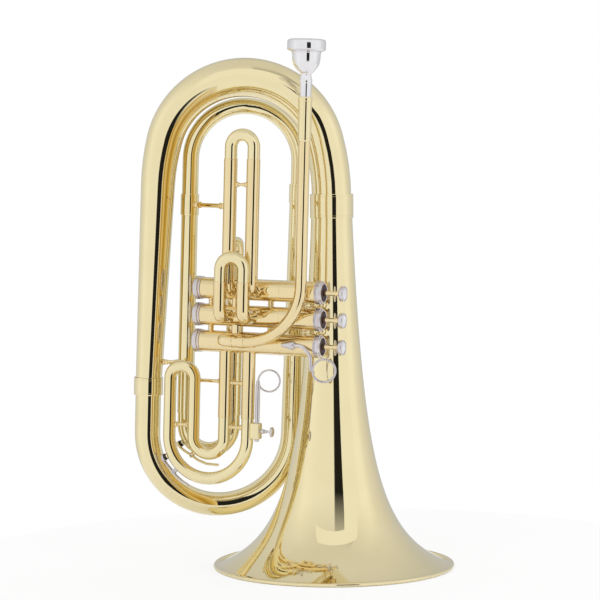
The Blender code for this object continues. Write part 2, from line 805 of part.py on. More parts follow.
def hook_holder():
    """The silver socket on the front of the third casing, which takes the finger hook's stem."""
    start, end = HOLDER_S
    bore = HOOK_D / 2 + CLEAR
    wide = HOLDER_D / 2
    outline = [
        (end, bore),
        (end - 6 * MM, bore),
        (end - 6 * MM, 0),
        (start, 0),
        (start, wide - 0.8 * MM),
        (start + 0.8 * MM, wide),
        (end - 1.6 * MM, wide),
        (end - 0.4 * MM, wide * 0.9),
        (end, wide * 0.75),
    ]
    return turned(outline, 12, (0, -hook_front(), HOOK_H), (1, 0, 0), (0, 0, 1))


def make_casing(n):
    h = casing_h(n)
    route = [Vector((CASING_LOW_S, 0, h)), Vector((CASING_TOP_S, 0, h))]
    fittings = {1: casing_posts, 2: hook_holder}.get(n)
    if fittings:
        casing = piece(f"casing_{n + 1}", tube(route, CASING_D, sides=CASING_SIDES, reference=(0, 0, 1)), cluster, LACQUER)
        boolean(casing, tool(f"casing_fittings_{n + 1}", fittings(), cluster), "UNION")
        bore = rod(
            (CASING_LOW_S - 1 * MM, 0, h), (CASING_TOP_S + 1 * MM, 0, h), CASING_BORE, CASING_SIDES, (0, 0, 1)
        )
        boolean(casing, tool(f"casing_bore_{n + 1}", bore, cluster), "DIFFERENCE")
    else:
        bm = tube(route, CASING_D, CASING_BORE, CASING_SIDES, CASING_SIDES, (0, 0, 1))
        casing = piece(f"casing_{n + 1}", bm, cluster, LACQUER)
    ports = tool(f"ports_{n + 1}", merged(*port_cutters(n)), cluster)
    boolean(casing, ports, "DIFFERENCE")
    return casing


def make_caps(n):
    h = casing_h(n)
    along = (1, 0, 0)
    seat = CASING_D / 2 + CLEAR
    edge = CAP_D / 2
    vent = 1.6 * MM
    low, skirt = BOTTOM_CAP_END_S, BOTTOM_CAP_SKIRT_S
    shelf = CASING_LOW_S - CLEAR
    bottom = [
        (low, vent),
        (low, edge * 0.84),
        (skirt - 3.4 * MM, edge * 0.94),
        (skirt - 3.2 * MM, edge),
        (skirt, edge),
        (skirt, seat),
        (shelf, seat),
        (shelf, CASING_BORE / 2),
        (low + CAP_LIP, CASING_BORE / 2 - 1 * MM),
        (low + CAP_LIP, vent),
    ]
    piece(f"bottom_cap_{n + 1}", turned(bottom, 16, (0, 0, h), along, (0, 0, 1)), cluster, SILVER, (0, 0, h))
    top, skirt = TOP_CAP_END_S, TOP_CAP_SKIRT_S
    floor = top - CAP_RECESS
    shelf = CASING_TOP_S + CLEAR
    hole = STEM_D / 2 + 1.0 * MM
    cap = [
        (skirt, seat),
        (skirt, edge),
        (skirt + 2.6 * MM, edge),
        (top, edge * 0.92),
        (top, CAP_MOUTH_D / 2),
        (floor, CAP_MOUTH_D / 2),
        (floor, hole),
        (shelf, hole),
        (shelf, seat),
    ]
    piece(f"top_cap_{n + 1}", turned(cap, 16, (0, 0, h), along, (0, 0, 1)), cluster, SILVER, (0, 0, h))
    felt_s = floor + CLEAR
    felt = [
        (felt_s, STEM_D / 2 + 0.8 * MM),
        (felt_s, CAP_MOUTH_D / 2 - CLEAR),
        (felt_s + FELT_T, CAP_MOUTH_D / 2 - CLEAR),
        (felt_s + FELT_T, STEM_D / 2 + 0.8 * MM),
    ]
    piece(f"cap_felt_{n + 1}", turned(felt, 12, (0, 0, h), along, (0, 0, 1)), cluster, FELT, (0, 0, h))


def make_piston(n):
    h = casing_h(n)
    origin = (PISTON_LOW_S, 0, h)
    wide = PISTON_D / 2
    neck = PISTON_NECK_D / 2
    outline = solid_outline((PISTON_LOW_S, wide), (PISTON_TOP_S, wide), (PISTON_TOP_S, neck), (PISTON_NECK_S, neck))
    body = turned(outline, CASING_SIDES, (0, 0, h), (1, 0, 0), (0, 0, 1), closed=False)
    piston = piece(f"piston_{n + 1}", body, cluster, STEEL, origin)
    reach = wide + 2 * MM
    level = BORE + 1.2 * MM
    for i, tilt in enumerate((90.0, 0.0, 45.0)):
        s = KNUCKLE_S - level + i * level + (level / 2)
        way = Vector((0, math.cos(math.radians(tilt)), math.sin(math.radians(tilt)))) * reach
        centre = Vector((s, 0, h))
        passage = rod(centre - way, centre + way, BORE * 0.94, 8, (1, 0, 0))
        boolean(piston, tool(f"passage_{n + 1}_{i}", passage, cluster, tuple(centre)), "DIFFERENCE")
    edge = BUTTON_D / 2
    top = BUTTON_S + BUTTON_T
    button = solid_outline(
        (PISTON_NECK_S + CLEAR, STEM_D / 2),
        (BUTTON_S, STEM_D / 2),
        (BUTTON_S, edge),
        (top - 1.0 * MM, edge),
        (top, edge - 0.9 * MM),
        (top, PEARL_D / 2),
        (top - PEARL_RECESS, PEARL_D / 2),
    )
    stem = turned(button, 12, (0, 0, h), (1, 0, 0), (0, 0, 1), closed=False)
    piece(f"button_{n + 1}", stem, cluster, SILVER, (BUTTON_S, 0, h))


def make_spring(n):
    h = casing_h(n)
    seat = BOTTOM_CAP_END_S + CAP_LIP + CLEAR
    length = PISTON_LOW_S - CLEAR - seat
    points = spring_coil((seat, 0, h), (1, 0, 0), length, (0, 0, 1))
    report_least_gap(f"valve_spring_{n + 1}", points, SPRING_WIRE)
    curve = bpy.data.curves.new(f"spring_path_{n + 1}", "CURVE")
    curve.dimensions = "3D"
    curve.bevel_depth = SPRING_WIRE / 2
    curve.bevel_resolution = 1
    curve.use_fill_caps = True
    spline = curve.splines.new("POLY")
    spline.points.add(len(points) - 1)
    origin = Vector((seat, 0, h))
    for slot, point in zip(spline.points, points):
        slot.co = (*(point - origin), 1.0)
    spring = bpy.data.objects.new(f"valve_spring_{n + 1}", curve)
    bpy.context.scene.collection.objects.link(spring)
    spring.parent = cluster
    spring.location = origin
    material = bpy.data.materials.new(spring.name)
    material.use_nodes = True
    shader = material.node_tree.nodes["Principled BSDF"]
    shader.inputs["Base Color"].default_value = (*STEEL[0], 1.0)
    shader.inputs["Roughness"].default_value = STEEL[1]
    shader.inputs["Metallic"].default_value = STEEL[2]
    curve.materials.append(material)


for valve in range(3):
    make_casing(valve)
    make_caps(valve)
    make_piston(valve)
    make_spring(valve)

for gap_index in range(2):
    high = casing_h(gap_index)
    knuckle = tube(
        [Vector((KNUCKLE_S, 0, high)), Vector((KNUCKLE_S, 0, high - CASING_PITCH))], KNUCKLE_D, BORE, 12, 6
    )
    link = piece(f"knuckle_{gap_index + 1}", knuckle, cluster, LACQUER)
    boolean(link, casing_clearance[gap_index], "DIFFERENCE")
    boolean(link, casing_clearance[gap_index + 1], "DIFFERENCE")


# Link bow, from the top of the first casing back and down into the tuning slide

def make_link_bow():
    front = cluster_to_wrap((LINK_S, 0, casing_h(0)))
    radius = link_radius()
    top = link_top_w() - LINK_D / 2
    corners = [
        front,
        Vector((front.x, front.y, top)),
        Vector((tuning_right.x, tuning_right.y, top)),
        Vector((tuning_right.x, tuning_right.y, link_low_w() + CLEAR)),
    ]
    across = (corners[2] - corners[1]).normalized()
    bm = tube(bent_route(corners, radius), LINK_D, LINK_D - 2 * TUBE_WALL, reference=across.cross(up))
    bow = piece("link_bow", bm, wrap, LACQUER)
    boolean(bow, casing_clearance[0], "DIFFERENCE")


make_link_bow()


# Valve slides

def elbow_sleeve(name, s, front, seam_h, h, casing):
    """A sleeve that runs down in front of the casings and turns back into one of them."""
    corners = [(s, -front, seam_h), (s, -front, h), (s, 0, h)]
    bm = tube(bent_route(corners, ELBOW_R), SLEEVE_D, SLEEVE_BORE, 12, 12, (1, 0, 0))
    sleeve = piece(name, bm, cluster, LACQUER)
    boolean(sleeve, casing_clearance[casing], "DIFFERENCE")
    return sleeve


def u_crook(name, s_pair, front, seam_h, far_h, leg_l):
    """A slide's moving part: a bow with a leg in each sleeve."""
    radius = (s_pair[1] - s_pair[0]) / 2
    bow_h = far_h - CROOK_D / 2
    end_h = seam_h - leg_l
    corners = [(s_pair[0], -front, end_h), (s_pair[0], -front, bow_h), (s_pair[1], -front, bow_h), (s_pair[1], -front, end_h)]
    route = bent_route(corners, radius)
    run = polyline_length(route)
    step = leg_l + CLEAR
    outer = [(0, LEG_D), (step, LEG_D), (step, CROOK_D)]
    outer += [(run - d, size) for d, size in reversed(outer)]
    origin = (s_pair[0], -front, seam_h)
    return piece(name, tube(route, outer, BORE), cluster, LACQUER, origin)


slide1_sleeves = [
    elbow_sleeve(f"slide1_sleeve_{i + 1}", s, SLIDE1_FRONT, SLIDE1_SEAM_H, casing_h(0), 0) for i, s in enumerate(SLIDE1_S)
]
sleeve_gap = SLEEVE_D / 2 + CLEAR
sleeve_seat = SLEEVE_BORE / 2 + 0.1 * MM
slide1_tie = stay(
    (SLIDE1_S[0], -SLIDE1_FRONT, SLIDE1_TIE_H), (SLIDE1_S[1], -SLIDE1_FRONT, SLIDE1_TIE_H), sleeve_gap, sleeve_seat, 5.6 * MM, 3 * MM
)
boolean(slide1_sleeves[1], tool("slide1_tie", slide1_tie, cluster), "UNION")
u_crook("slide1_crook", SLIDE1_S, SLIDE1_FRONT, SLIDE1_SEAM_H, SLIDE1_TOP_H, SLIDE1_LEG_L)
for i, s in enumerate(SLIDE2_S):
    elbow_sleeve(f"slide2_sleeve_{i + 1}", s, SLIDE2_FRONT, SLIDE2_SEAM_H, casing_h(1), 1)
u_crook("slide2_crook", SLIDE2_S, SLIDE2_FRONT, SLIDE2_SEAM_H, SLIDE2_TOP_H, SLIDE2_LEG_L)

for i, s in enumerate(SLIDE3_S):
    sleeve_route = [Vector((s, 0, casing_h(2))), Vector((s, 0, SLIDE3_SEAM_H))]
    sleeve = piece(f"slide3_sleeve_{i + 1}", tube(sleeve_route, SLEEVE_D, SLEEVE_BORE, 12, 12), cluster, LACQUER)
    boolean(sleeve, casing_clearance[2], "DIFFERENCE")
slide3_tie = stay(
    (SLIDE3_S[0], 0, SLIDE3_TIE_H), (SLIDE3_S[1], 0, SLIDE3_TIE_H), sleeve_gap, sleeve_seat, 5.6 * MM, 3 * MM
)
boolean(sleeve, tool("slide3_tie", slide3_tie, cluster), "UNION")


def slide3_route(extra=0.0):
    """Down leg A, round the inner bow, up and over the small top bow, and round the outer bow to leg B."""
    a, b = SLIDE3_S
    small_left, small_right = small_leg(0), small_leg(1)
    leg_end = SLIDE3_SEAM_H + SLIDE3_LEG_L + extra
    inner = SLIDE3_INNER_BOTTOM_H
    outer = SLIDE3_OUTER_BOTTOM_H
    leg_a, leg_b = Vector((a, 0, 0)), Vector((b, 0, 0))
    corners = [
        leg_a + up * leg_end,
        leg_a + up * inner,
        small_right + up * inner,
        small_right + up * SLIDE3_TOP_H,
        small_left + up * SLIDE3_TOP_H,
        small_left + up * outer,
        leg_b + up * outer,
        leg_b + up * leg_end,
    ]
    inner_r = (leg_a - small_right).length / 2
    top_r = (small_right - small_left).length / 2
    outer_r = (leg_b - small_left).length / 2
    return bent_route(corners, [inner_r, inner_r, top_r, top_r, outer_r, outer_r])


def small_leg(i):
    """Where a small leg of the third slide stands, seen from above."""
    return Vector((SLIDE3_SMALL_S[i], SLIDE3_SMALL_B[i], 0))


def tie(start, end):
    """A short tie with a collar at each end, between two tubes."""
    start = Vector(start)
    axis = Vector(end) - start
    length = axis.length
    collar = TIE_COLLAR_D / 2
    outline = solid_outline((0, collar), (2 * MM, collar), (2.6 * MM, TIE_D / 2), (length - 2.6 * MM, TIE_D / 2),
                            (length - 2 * MM, collar), (length, collar))
    return turned(outline, 8, start, axis.normalized(), (0, 1, 0), closed=False)


def make_slide3_crook():
    route = slide3_route()
    run = polyline_length(route)
    step = SLIDE3_LEG_L + CLEAR
    outer = [(0, LEG_D), (step, LEG_D), (step, CROOK_D)]
    outer += [(run - d, size) for d, size in reversed(outer)]
    origin = (SLIDE3_S[1], 0, SLIDE3_SEAM_H)
    crook = piece("slide3_crook", tube(route, outer), cluster, LACQUER, origin)
    inset = CROOK_D / 2 - 1.2 * MM
    across = (small_leg(1) - small_leg(0)).normalized()
    level = up * SLIDE3_MOVING_TIE_H
    ties = [
        tie((SLIDE3_S[0] + inset, 0, SLIDE3_MOVING_TIE_H), (SLIDE3_S[1] - inset, 0, SLIDE3_MOVING_TIE_H)),
        tie(small_leg(0) + across * inset + level, small_leg(1) - across * inset + level),
    ]
    boolean(crook, tool("slide3_ties", merged(*ties), cluster), "UNION")
    bore = tube(slide3_route(1 * MM), BORE, sides=6)
    boolean(crook, tool("slide3_bore", bore, cluster), "DIFFERENCE")
    return crook


slide3_crook = make_slide3_crook()


# Leadpipe, receiver and mouthpiece

def make_leadpipe():
    corners = [
        (LEAD_S, -LEAD_FRONT, LEAD_TOP_H),
        (LEAD_S, -LEAD_FRONT, LEAD_H),
        (LEAD_PORT_S, -LEAD_FRONT, LEAD_H),
        (LEAD_PORT_S, 0, LEAD_H),
    ]
    route = bent_route(corners, [LEAD_BEND_R, ELBOW_R - 1.5 * MM])
    run = polyline_length(route)
    outer = [(0, LEAD_D_TOP), (run * 0.5, LEAD_D_TOP), (run * 0.75, LEAD_D_LOW), (run, LEAD_D_LOW)]
    bore = [(d, size - 2 * TUBE_WALL) for d, size in outer]
    pipe = piece("leadpipe", tube(route, outer, bore), cluster, LACQUER)
    boolean(pipe, casing_clearance[2], "DIFFERENCE")
    base = LEAD_TOP_H + CLEAR
    receiver = ferrule_outline(RECEIVER_L, RECEIVER_D, RECEIVER_BORE)
    piece("receiver", turned(receiver, 16, (LEAD_S, -LEAD_FRONT, base)), cluster, LACQUER)


def make_mouthpiece():
    receiver_top = LEAD_TOP_H + CLEAR + RECEIVER_L
    tip = receiver_top - MOUTHPIECE_SHANK_IN
    top = receiver_top + MOUTHPIECE_L
    unit = MOUTHPIECE_L / 58.2
    rim = MOUTHPIECE_RIM_D / 2
    cup = MOUTHPIECE_CUP_D / 2
    shank = RECEIVER_BORE / 2 - CLEAR
    throat = 3.3 * MM
    outline = [
        (tip, 4.6 * MM),
        (tip, shank - 0.5 * MM),
        (receiver_top, shank),
        (receiver_top + 0.5 * MM, shank),
        (top - 45.6 * unit, 6.1 * MM),
        (top - 41.5 * unit, 6.8 * MM),
        (top - 34.4 * unit, 5.5 * MM),
        (top - 25.0 * unit, 11.3 * MM),
        (top - 14.0 * unit, 14.8 * MM),
        (top - 12.8 * unit, 16.5 * MM),
        (top - 10.6 * unit, rim),
        (top - 2.0 * unit, rim),
        (top, rim - 2.6 * MM),
        (top, rim - 4.8 * MM),
        (top - 3.0 * unit, cup),
        (top - 12.0 * unit, cup - 1.6 * MM),
        (top - 20.0 * unit, cup - 5.0 * MM),
        (top - 26.0 * unit, throat),
        (top - 34.0 * unit, throat),
    ]
    centre = (LEAD_S, -LEAD_FRONT, 0)
    piece("mouthpiece", turned(outline, 14, centre), cluster, SILVER, (LEAD_S, -LEAD_FRONT, receiver_top))


make_leadpipe()
make_mouthpiece()


# Third slide's finger ring on its rod, with the thumb screw that holds it

facing = cluster_matrix.to_3x3().inverted() @ Vector((1, 0, 0))


def ring(centre, across, diameter, wire, start=0.0, sides=16, wire_sides=6):
    """A wire ring that stands upright, with the given horizontal direction across it."""
    radius = (diameter - wire) / 2
    route = []
    for i in range(sides):
        angle = math.tau * i / sides + start
        route.append(Vector(centre) + across * radius * math.cos(angle) + up * radius * math.sin(angle))
    normal = across.cross(up)
    bm = bmesh.new()
    rings = []
    for point in route:
        out = (point - Vector(centre)).normalized()
        rings.append([
            bm.verts.new(point + (out * math.cos(math.tau * k / wire_sides) + normal * math.sin(math.tau * k / wire_sides)) * wire / 2)
            for k in range(wire_sides)
        ])
    for low, high in zip(rings, rings[1:] + rings[:1]):
        for k in range(wire_sides):
            n = (k + 1) % wire_sides
            bm.faces.new((low[k], low[n], high[n], high[k]))
    return bm


def make_ring_rod():
    axis_point = Vector((ROD_S, -ROD_FRONT, 0))
    top = axis_point + up * ROD_TOP_H
    low = axis_point + up * ROD_END_H
    stem = turned(
        solid_outline((0, ROD_D * 0.38), (1 * MM, ROD_D / 2), (ROD_TOP_H - ROD_END_H - 0.6 * MM, ROD_D / 2),
                      (ROD_TOP_H - ROD_END_H, ROD_D * 0.4)),
        12, low, (0, 0, 1), (0, 1, 0), closed=False,
    )
    rod_piece = piece("ring_rod", stem, cluster, SILVER, tuple(axis_point + up * SCREW_H))
    radius = (RING_D - RING_WIRE) / 2
    centre = axis_point + facing * (radius + 0.3 * MM) + up * RING_H
    boolean(rod_piece, tool("finger_ring", ring(centre, facing, RING_D, RING_WIRE), cluster), "UNION")


def make_rod_block():
    """The block on the moving leg, bored for the rod and for the thumb screw."""
    left = SLIDE3_S[1] + CROOK_D / 2 - 1.4 * MM
    right = ROD_S + ROD_D / 2 + 2.2 * MM
    middle_h = BLOCK_TOP_H - BLOCK_L / 2
    centre = ((left + right) / 2, -ROD_FRONT * 0.6, middle_h)
    block = box(centre, (right - left, BLOCK_W, BLOCK_L))
    boolean(slide3_crook, tool("rod_block", block, cluster), "UNION")
    hole = rod(
        (ROD_S, -ROD_FRONT, BLOCK_TOP_H + 2 * MM), (ROD_S, -ROD_FRONT, BLOCK_TOP_H - BLOCK_L - 2 * MM), ROD_D + 2 * CLEAR, 12
    )
    boolean(slide3_crook, tool("rod_hole", hole, cluster), "DIFFERENCE")
    tapped = rod((ROD_S, -ROD_FRONT, SCREW_H), (right + 2 * MM, -ROD_FRONT, SCREW_H), SCREW_D + 2 * CLEAR, 8, (0, 0, 1))
    boolean(slide3_crook, tool("screw_hole", tapped, cluster), "DIFFERENCE")
    tip = ROD_S + ROD_D / 2 + CLEAR
    head = SCREW_TIP_S - 6.6 * MM
    screw = solid_outline(
        (tip, SCREW_D / 2), (head - 3.4 * MM, SCREW_D / 2), (head - 3.2 * MM, SCREW_D * 0.85), (head - 1.6 * MM, SCREW_D * 0.85),
        (head - 1.2 * MM, SCREW_D * 0.5), (head, SCREW_D * 0.5), (head + 1.6 * MM, 3.6 * MM), (head + 3.4 * MM, 4.4 * MM),
        (head + 5.2 * MM, 3.6 * MM), (SCREW_TIP_S, 1.6 * MM),
    )
    bm = turned(screw, 8, (0, -ROD_FRONT, SCREW_H), (1, 0, 0), (0, 0, 1), closed=False)
    flatten = Matrix.Translation((0, -ROD_FRONT, 0)) @ Matrix.Diagonal((1, 0.42, 1, 1)) @ Matrix.Translation((0, ROD_FRONT, 0))
    wing = [v for v in bm.verts if v.co.x > head + 0.5 * MM]
    bmesh.ops.transform(bm, matrix=flatten, verts=wing)
    piece("rod_screw", bm, cluster, SILVER, (head, -ROD_FRONT, SCREW_H))


make_ring_rod()
make_rod_block()


# Finger hook

def make_pinky_hook():
    front = -hook_front()
    left_s = HOLDER_S[1] + HOOK_REACH
    start = HOLDER_S[1] - HOLDER_D * 0.53
    path = [
        (start, front, HOOK_H),
        (HOLDER_S[1] + HOOK_REACH * 0.54, front, HOOK_H),
        (left_s - PINKY_WIRE * 0.46, front, HOOK_H - HOOK_DROP * 0.366),
        (left_s - PINKY_WIRE * 0.15, front, HOOK_H - HOOK_DROP * 1.1),
    ]
    route = bent_route(path, [HOOK_REACH * 0.34, HOOK_REACH * 0.44])
    run = polyline_length(route)
    stem = tube(route, [(0, HOOK_D), (run * 0.7, HOOK_D), (run, PINKY_WIRE * 0.9)], sides=8)
    hook = piece("pinky_hook", stem, cluster, SILVER, (start, front, HOOK_H))
    radius = (PINKY_RING_D - PINKY_WIRE) / 2
    centre = Vector((left_s, front, HOOK_H - HOOK_DROP)) + facing * radius
    boolean(hook, tool("hook_ring", ring(centre, facing, PINKY_RING_D, PINKY_WIRE, sides=16), cluster), "UNION")


make_pinky_hook()


# Water keys

def ribbon(route, width, thickness, across):
    """A flat strip along a route in a plane, with the given direction across its width."""
    bm = bmesh.new()
    route = [Vector(p) for p in route]
    rings = []
    for i, point in enumerate(route):
        direction = (route[min(i + 1, len(route) - 1)] - route[max(i - 1, 0)]).normalized()
        out = direction.cross(across)
        rings.append([
            bm.verts.new(point + across * a * width / 2 + out * b * thickness / 2)
            for a, b in ((-1, -1), (1, -1), (1, 1), (-1, 1))
        ])
    for low, high in zip(rings, rings[1:]):
        for k in range(4):
            n = (k + 1) % 4
            bm.faces.new((low[k], low[n], high[n], high[k]))
    bm.faces.new(rings[0])
    bm.faces.new(rings[-1])
    return bm


def water_key(n, crook, parent, centre, right, bow_r, tube_d, bore_d, finish, cork_at, lever):
    """A water key in the plane of a bow. Angles are in degrees round the bow's centre, from the right.

    The lever is a list of (angle, height over the bow's skin), with the pivot's height as the unit.
    """
    right = right.normalized()
    across = right.cross(up)
    skin_r = bow_r + tube_d / 2

    def spot(radius, degrees):
        angle = math.radians(degrees)
        return centre + right * radius * math.cos(angle) + up * radius * math.sin(angle)

    out = (spot(1, cork_at) - centre).normalized()
    nipple_r = skin_r + NIPPLE_RISE
    root = KEY_ROOT
    nipple = rod(spot(skin_r - root, cork_at), spot(nipple_r, cork_at), NIPPLE_D, 10, across)
    lever = [(degrees, rise * KEY_RISE) for degrees, rise in lever]
    pivot_degrees, pivot_rise = lever[2]
    pivot = spot(skin_r + pivot_rise, pivot_degrees)
    pivot_out = (pivot - centre).normalized()
    along = pivot_out.cross(across)
    cheeks = []
    for way in (1, -1):
        middle = pivot - pivot_out * (pivot_rise + root - PIVOT_D / 2) / 2
        middle += across * way * (LEVER_W / 2 + CLEAR + SADDLE_T / 2)
        height = pivot_rise + root + PIVOT_D / 2
        cheek = bmesh.new()
        bmesh.ops.create_cube(cheek, size=1.0)
        turn = Matrix((along, pivot_out, across)).transposed().to_4x4()
        size = Matrix.Diagonal((PIVOT_D * 1.25, height, SADDLE_T, 1))
        bmesh.ops.transform(cheek, matrix=Matrix.Translation(middle) @ turn @ size, verts=cheek.verts)
        cheeks.append(cheek)
    boolean(crook, tool(f"key_{n}_seats", merged(nipple, *cheeks), parent), "UNION")
    reach = LEVER_W / 2 + CLEAR + SADDLE_T
    eye = rod(pivot - across * (reach + 1 * MM), pivot + across * (reach + 1 * MM), PIN_D + 2 * CLEAR, 8, up)
    boolean(crook, tool(f"key_{n}_eye", eye, parent), "DIFFERENCE")
    drain = rod(spot(bow_r, cork_at), spot(nipple_r + 1 * MM, cork_at), DRAIN_D, 8, across)
    boolean(crook, tool(f"key_{n}_drain", drain, parent), "DIFFERENCE")
    cork_r = nipple_r + CLEAR
    cork = rod(spot(cork_r, cork_at), spot(cork_r + CORK_T, cork_at), CORK_D, 10, across)
    piece(f"key_cork_{n}", cork, parent, CORK, tuple(pivot))
    cup_r = cork_r + CORK_T + CLEAR
    cup_low = spot(cup_r - 1.3 * MM, cork_at)
    cup_outline = [
        (1.3 * MM, 0), (1.3 * MM, CORK_D / 2 + CLEAR), (0, CORK_D / 2 + CLEAR), (0, CORK_D / 2 + 0.9 * MM),
        (2.0 * MM, CORK_D / 2 + 0.9 * MM), (2.8 * MM, CORK_D / 2 - 0.2 * MM), (2.8 * MM, 0),
    ]
    cup = turned(cup_outline, 10, cup_low, out, across)
    points = [spot(skin_r + rise, degrees) for degrees, rise in lever]
    strip = ribbon(points, LEVER_W, LEVER_T, across)
    key = piece(f"water_key_{n}", strip, parent, finish, tuple(pivot))
    boolean(key, tool(f"key_{n}_cup", cup, parent), "UNION")
    barrel = rod(pivot - across * LEVER_W / 2, pivot + across * LEVER_W / 2, PIVOT_D, 10, up)
    boolean(key, tool(f"key_{n}_barrel", barrel, parent), "UNION")
    pin = rod(pivot - across * reach, pivot + across * reach, PIN_D, 8, up)
    boolean(key, tool(f"key_{n}_pin", pin, parent), "UNION")


tuning_middle = (tuning_left + tuning_right) / 2
key1_centre = tuning_middle + up * (TUNING_BOW_BOTTOM_W + TUNING_CROOK_D / 2 + tuning_span / 2)
key1_lever = [(215, 1.833), (228, 1.111), (242, 1.0), (255, 0.944), (270, 1.389), (286, 2.667)]
water_key(
    1, tuning_crook, wrap, key1_centre, tuning_across, tuning_span / 2, TUNING_CROOK_D, TUNING_BORE, LACQUER, 215, key1_lever
)
key2_across = Vector((SLIDE3_S[1], 0, 0)) - small_leg(0)
outer_r = key2_across.length / 2
key2_centre = small_leg(0) + key2_across / 2 + up * (SLIDE3_OUTER_BOTTOM_H + outer_r)
key2_lever = [(206, 1.833), (215, 1.056), (226, 1.0), (237, 0.833), (245, 1.0), (252, 1.444)]
water_key(
    2, slide3_crook, cluster, key2_centre, key2_across, outer_r, CROOK_D, BORE, SILVER, 206, key2_lever
)


# Stays

def line_at(low, high, level):
    share = (level - low.z) / (high.z - low.z)
    return low + (high - low) * share


def make_stays():
    main_low, main_high = wrap_point(main_route[0]), wrap_point(main_route[1])
    left_axis = line_at(main_low, main_high, LEFT_STAY_W)
    inner_axis = Vector((INNER_LEFT_U, INNER_LEFT_V, LEFT_STAY_W))
    share = (LEFT_STAY_W - main_low.z) / (main_high.z - main_low.z)
    left_r = (MAIN_D_START + (MAIN_D_SHOULDER - MAIN_D_START) * share) / 2
    bm = stay(left_axis, inner_axis, left_r + 2 * CLEAR, TUNING_SLEEVE_D / 2 + CLEAR)
    piece("stay_left", bm, wrap, LACQUER)
    sleeve_axis = cluster_to_wrap((SLIDE1_S[0], -SLIDE1_FRONT, 0))
    start = Vector((INNER_LEFT_U, INNER_LEFT_V, SLIDE_STAY_W))
    end = Vector((sleeve_axis.x, sleeve_axis.y, SLIDE_STAY_W))
    bm = stay(start, end, INNER_FERRULE_D / 2 + CLEAR, SLEEVE_D / 2 + CLEAR)
    piece("stay_slide", bm, wrap, LACQUER)


def make_bell_brace(name, level):
    """From a post between the casings back to the bell: fine rings at one end, a ball foot at the other."""
    start = cluster_to_wrap((POST_S[2], 0, level))
    w = start.z
    axis = Vector((-w * math.tan(WRAP_LEAN), 0, w))
    radius = bell_radius(w * math.cos(WRAP_LEAN) + axis.x * -math.sin(WRAP_LEAN)) / math.cos(WRAP_LEAN)
    across = BRACE_END_U - axis.x
    seat = Vector((BRACE_END_U, -math.sqrt(radius ** 2 - across ** 2), w))
    way = (seat - start).normalized()
    first = POST_WAIST_D / 2 + CLEAR
    length = (seat - start).length - first - 1.0 * MM
    thin = 1.2 * MM
    outline = [(0, 1.5 * MM), (7.2 * MM, 1.5 * MM)]
    for i in range(2):
        low = 7.4 * MM + i * 3.0 * MM
        outline += [(low, 2.4 * MM), (low + 1.1 * MM, 2.4 * MM), (low + 1.3 * MM, thin)]
    outline += [
        (length - 9.2 * MM, thin),
        (length - 9.0 * MM, 2.6 * MM),
        (length - 6.2 * MM, 2.6 * MM),
        (length - 5.8 * MM, 1.7 * MM),
        (length - 2.8 * MM, 3.6 * MM),
        (length, 2.6 * MM),
    ]
    bm = turned(solid_outline(*outline), 8, start + way * first, way, (0, 0, 1), closed=False)
    piece(name, bm, wrap, LACQUER)


make_stays()
make_bell_brace("bell_brace_upper", casing_h(0) - CASING_PITCH / 2)
make_bell_brace("bell_brace_lower", casing_h(1) - CASING_PITCH / 2)
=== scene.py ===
# %% [markdown]
# # A marching baritone horn, standing on its bell
#
# The horn is almost all tube: cones and cylinders of polished brass, joined by turned sleeves and
# stays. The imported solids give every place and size. This lesson pulls each tube again as a fine
# mesh, because polished metal shows every facet of a coarse one, and then gives it its finish.

# %% Load the frame
import math

import bpy
from mathutils import Matrix, Vector


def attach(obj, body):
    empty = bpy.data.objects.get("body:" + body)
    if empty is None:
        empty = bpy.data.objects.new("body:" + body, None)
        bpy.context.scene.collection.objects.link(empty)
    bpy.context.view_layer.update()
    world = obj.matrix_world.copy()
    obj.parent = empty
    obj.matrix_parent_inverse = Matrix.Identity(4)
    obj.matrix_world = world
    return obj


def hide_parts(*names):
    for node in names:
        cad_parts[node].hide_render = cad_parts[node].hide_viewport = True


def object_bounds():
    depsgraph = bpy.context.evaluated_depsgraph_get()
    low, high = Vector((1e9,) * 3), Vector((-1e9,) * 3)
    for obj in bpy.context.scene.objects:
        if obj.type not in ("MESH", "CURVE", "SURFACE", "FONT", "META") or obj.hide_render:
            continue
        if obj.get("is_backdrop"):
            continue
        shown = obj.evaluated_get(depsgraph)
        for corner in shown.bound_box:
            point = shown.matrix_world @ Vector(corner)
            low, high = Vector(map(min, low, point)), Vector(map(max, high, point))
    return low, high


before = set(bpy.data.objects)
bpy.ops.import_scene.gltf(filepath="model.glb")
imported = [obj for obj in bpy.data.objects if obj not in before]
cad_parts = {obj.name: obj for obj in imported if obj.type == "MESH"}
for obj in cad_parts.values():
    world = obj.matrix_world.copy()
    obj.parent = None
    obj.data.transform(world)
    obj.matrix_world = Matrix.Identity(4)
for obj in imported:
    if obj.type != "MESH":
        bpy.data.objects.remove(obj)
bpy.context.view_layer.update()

MM = 0.001

# %% [markdown]
# Three frames of reference make the numbers simple. The bell is upright. The wrap of tubes leans a
# little towards it, and the valve cluster is turned inside the wrap, so that the buttons miss the
# bell. Each piece is modelled upright in its own frame, and then the whole mesh is turned into place.

# %% The three frames
LEAN, TURN = math.radians(1.8), math.radians(21)
UPRIGHT = Matrix.Identity(4)
WRAP = Matrix.Rotation(LEAN, 4, "Y")
CLUSTER_IN_WRAP = Matrix.Translation(Vector((-84.8, -30.9, 263.4)) * MM) @ Matrix.Rotation(-TURN, 4, "Z")
CLUSTER = WRAP @ CLUSTER_IN_WRAP
UP, DOWN, ALONG = Vector((0, 0, 1)), Vector((0, 0, -1)), Vector((1, 0, 0))
FRONT, BACK = Vector((0, -1, 0)), Vector((0, 1, 0))


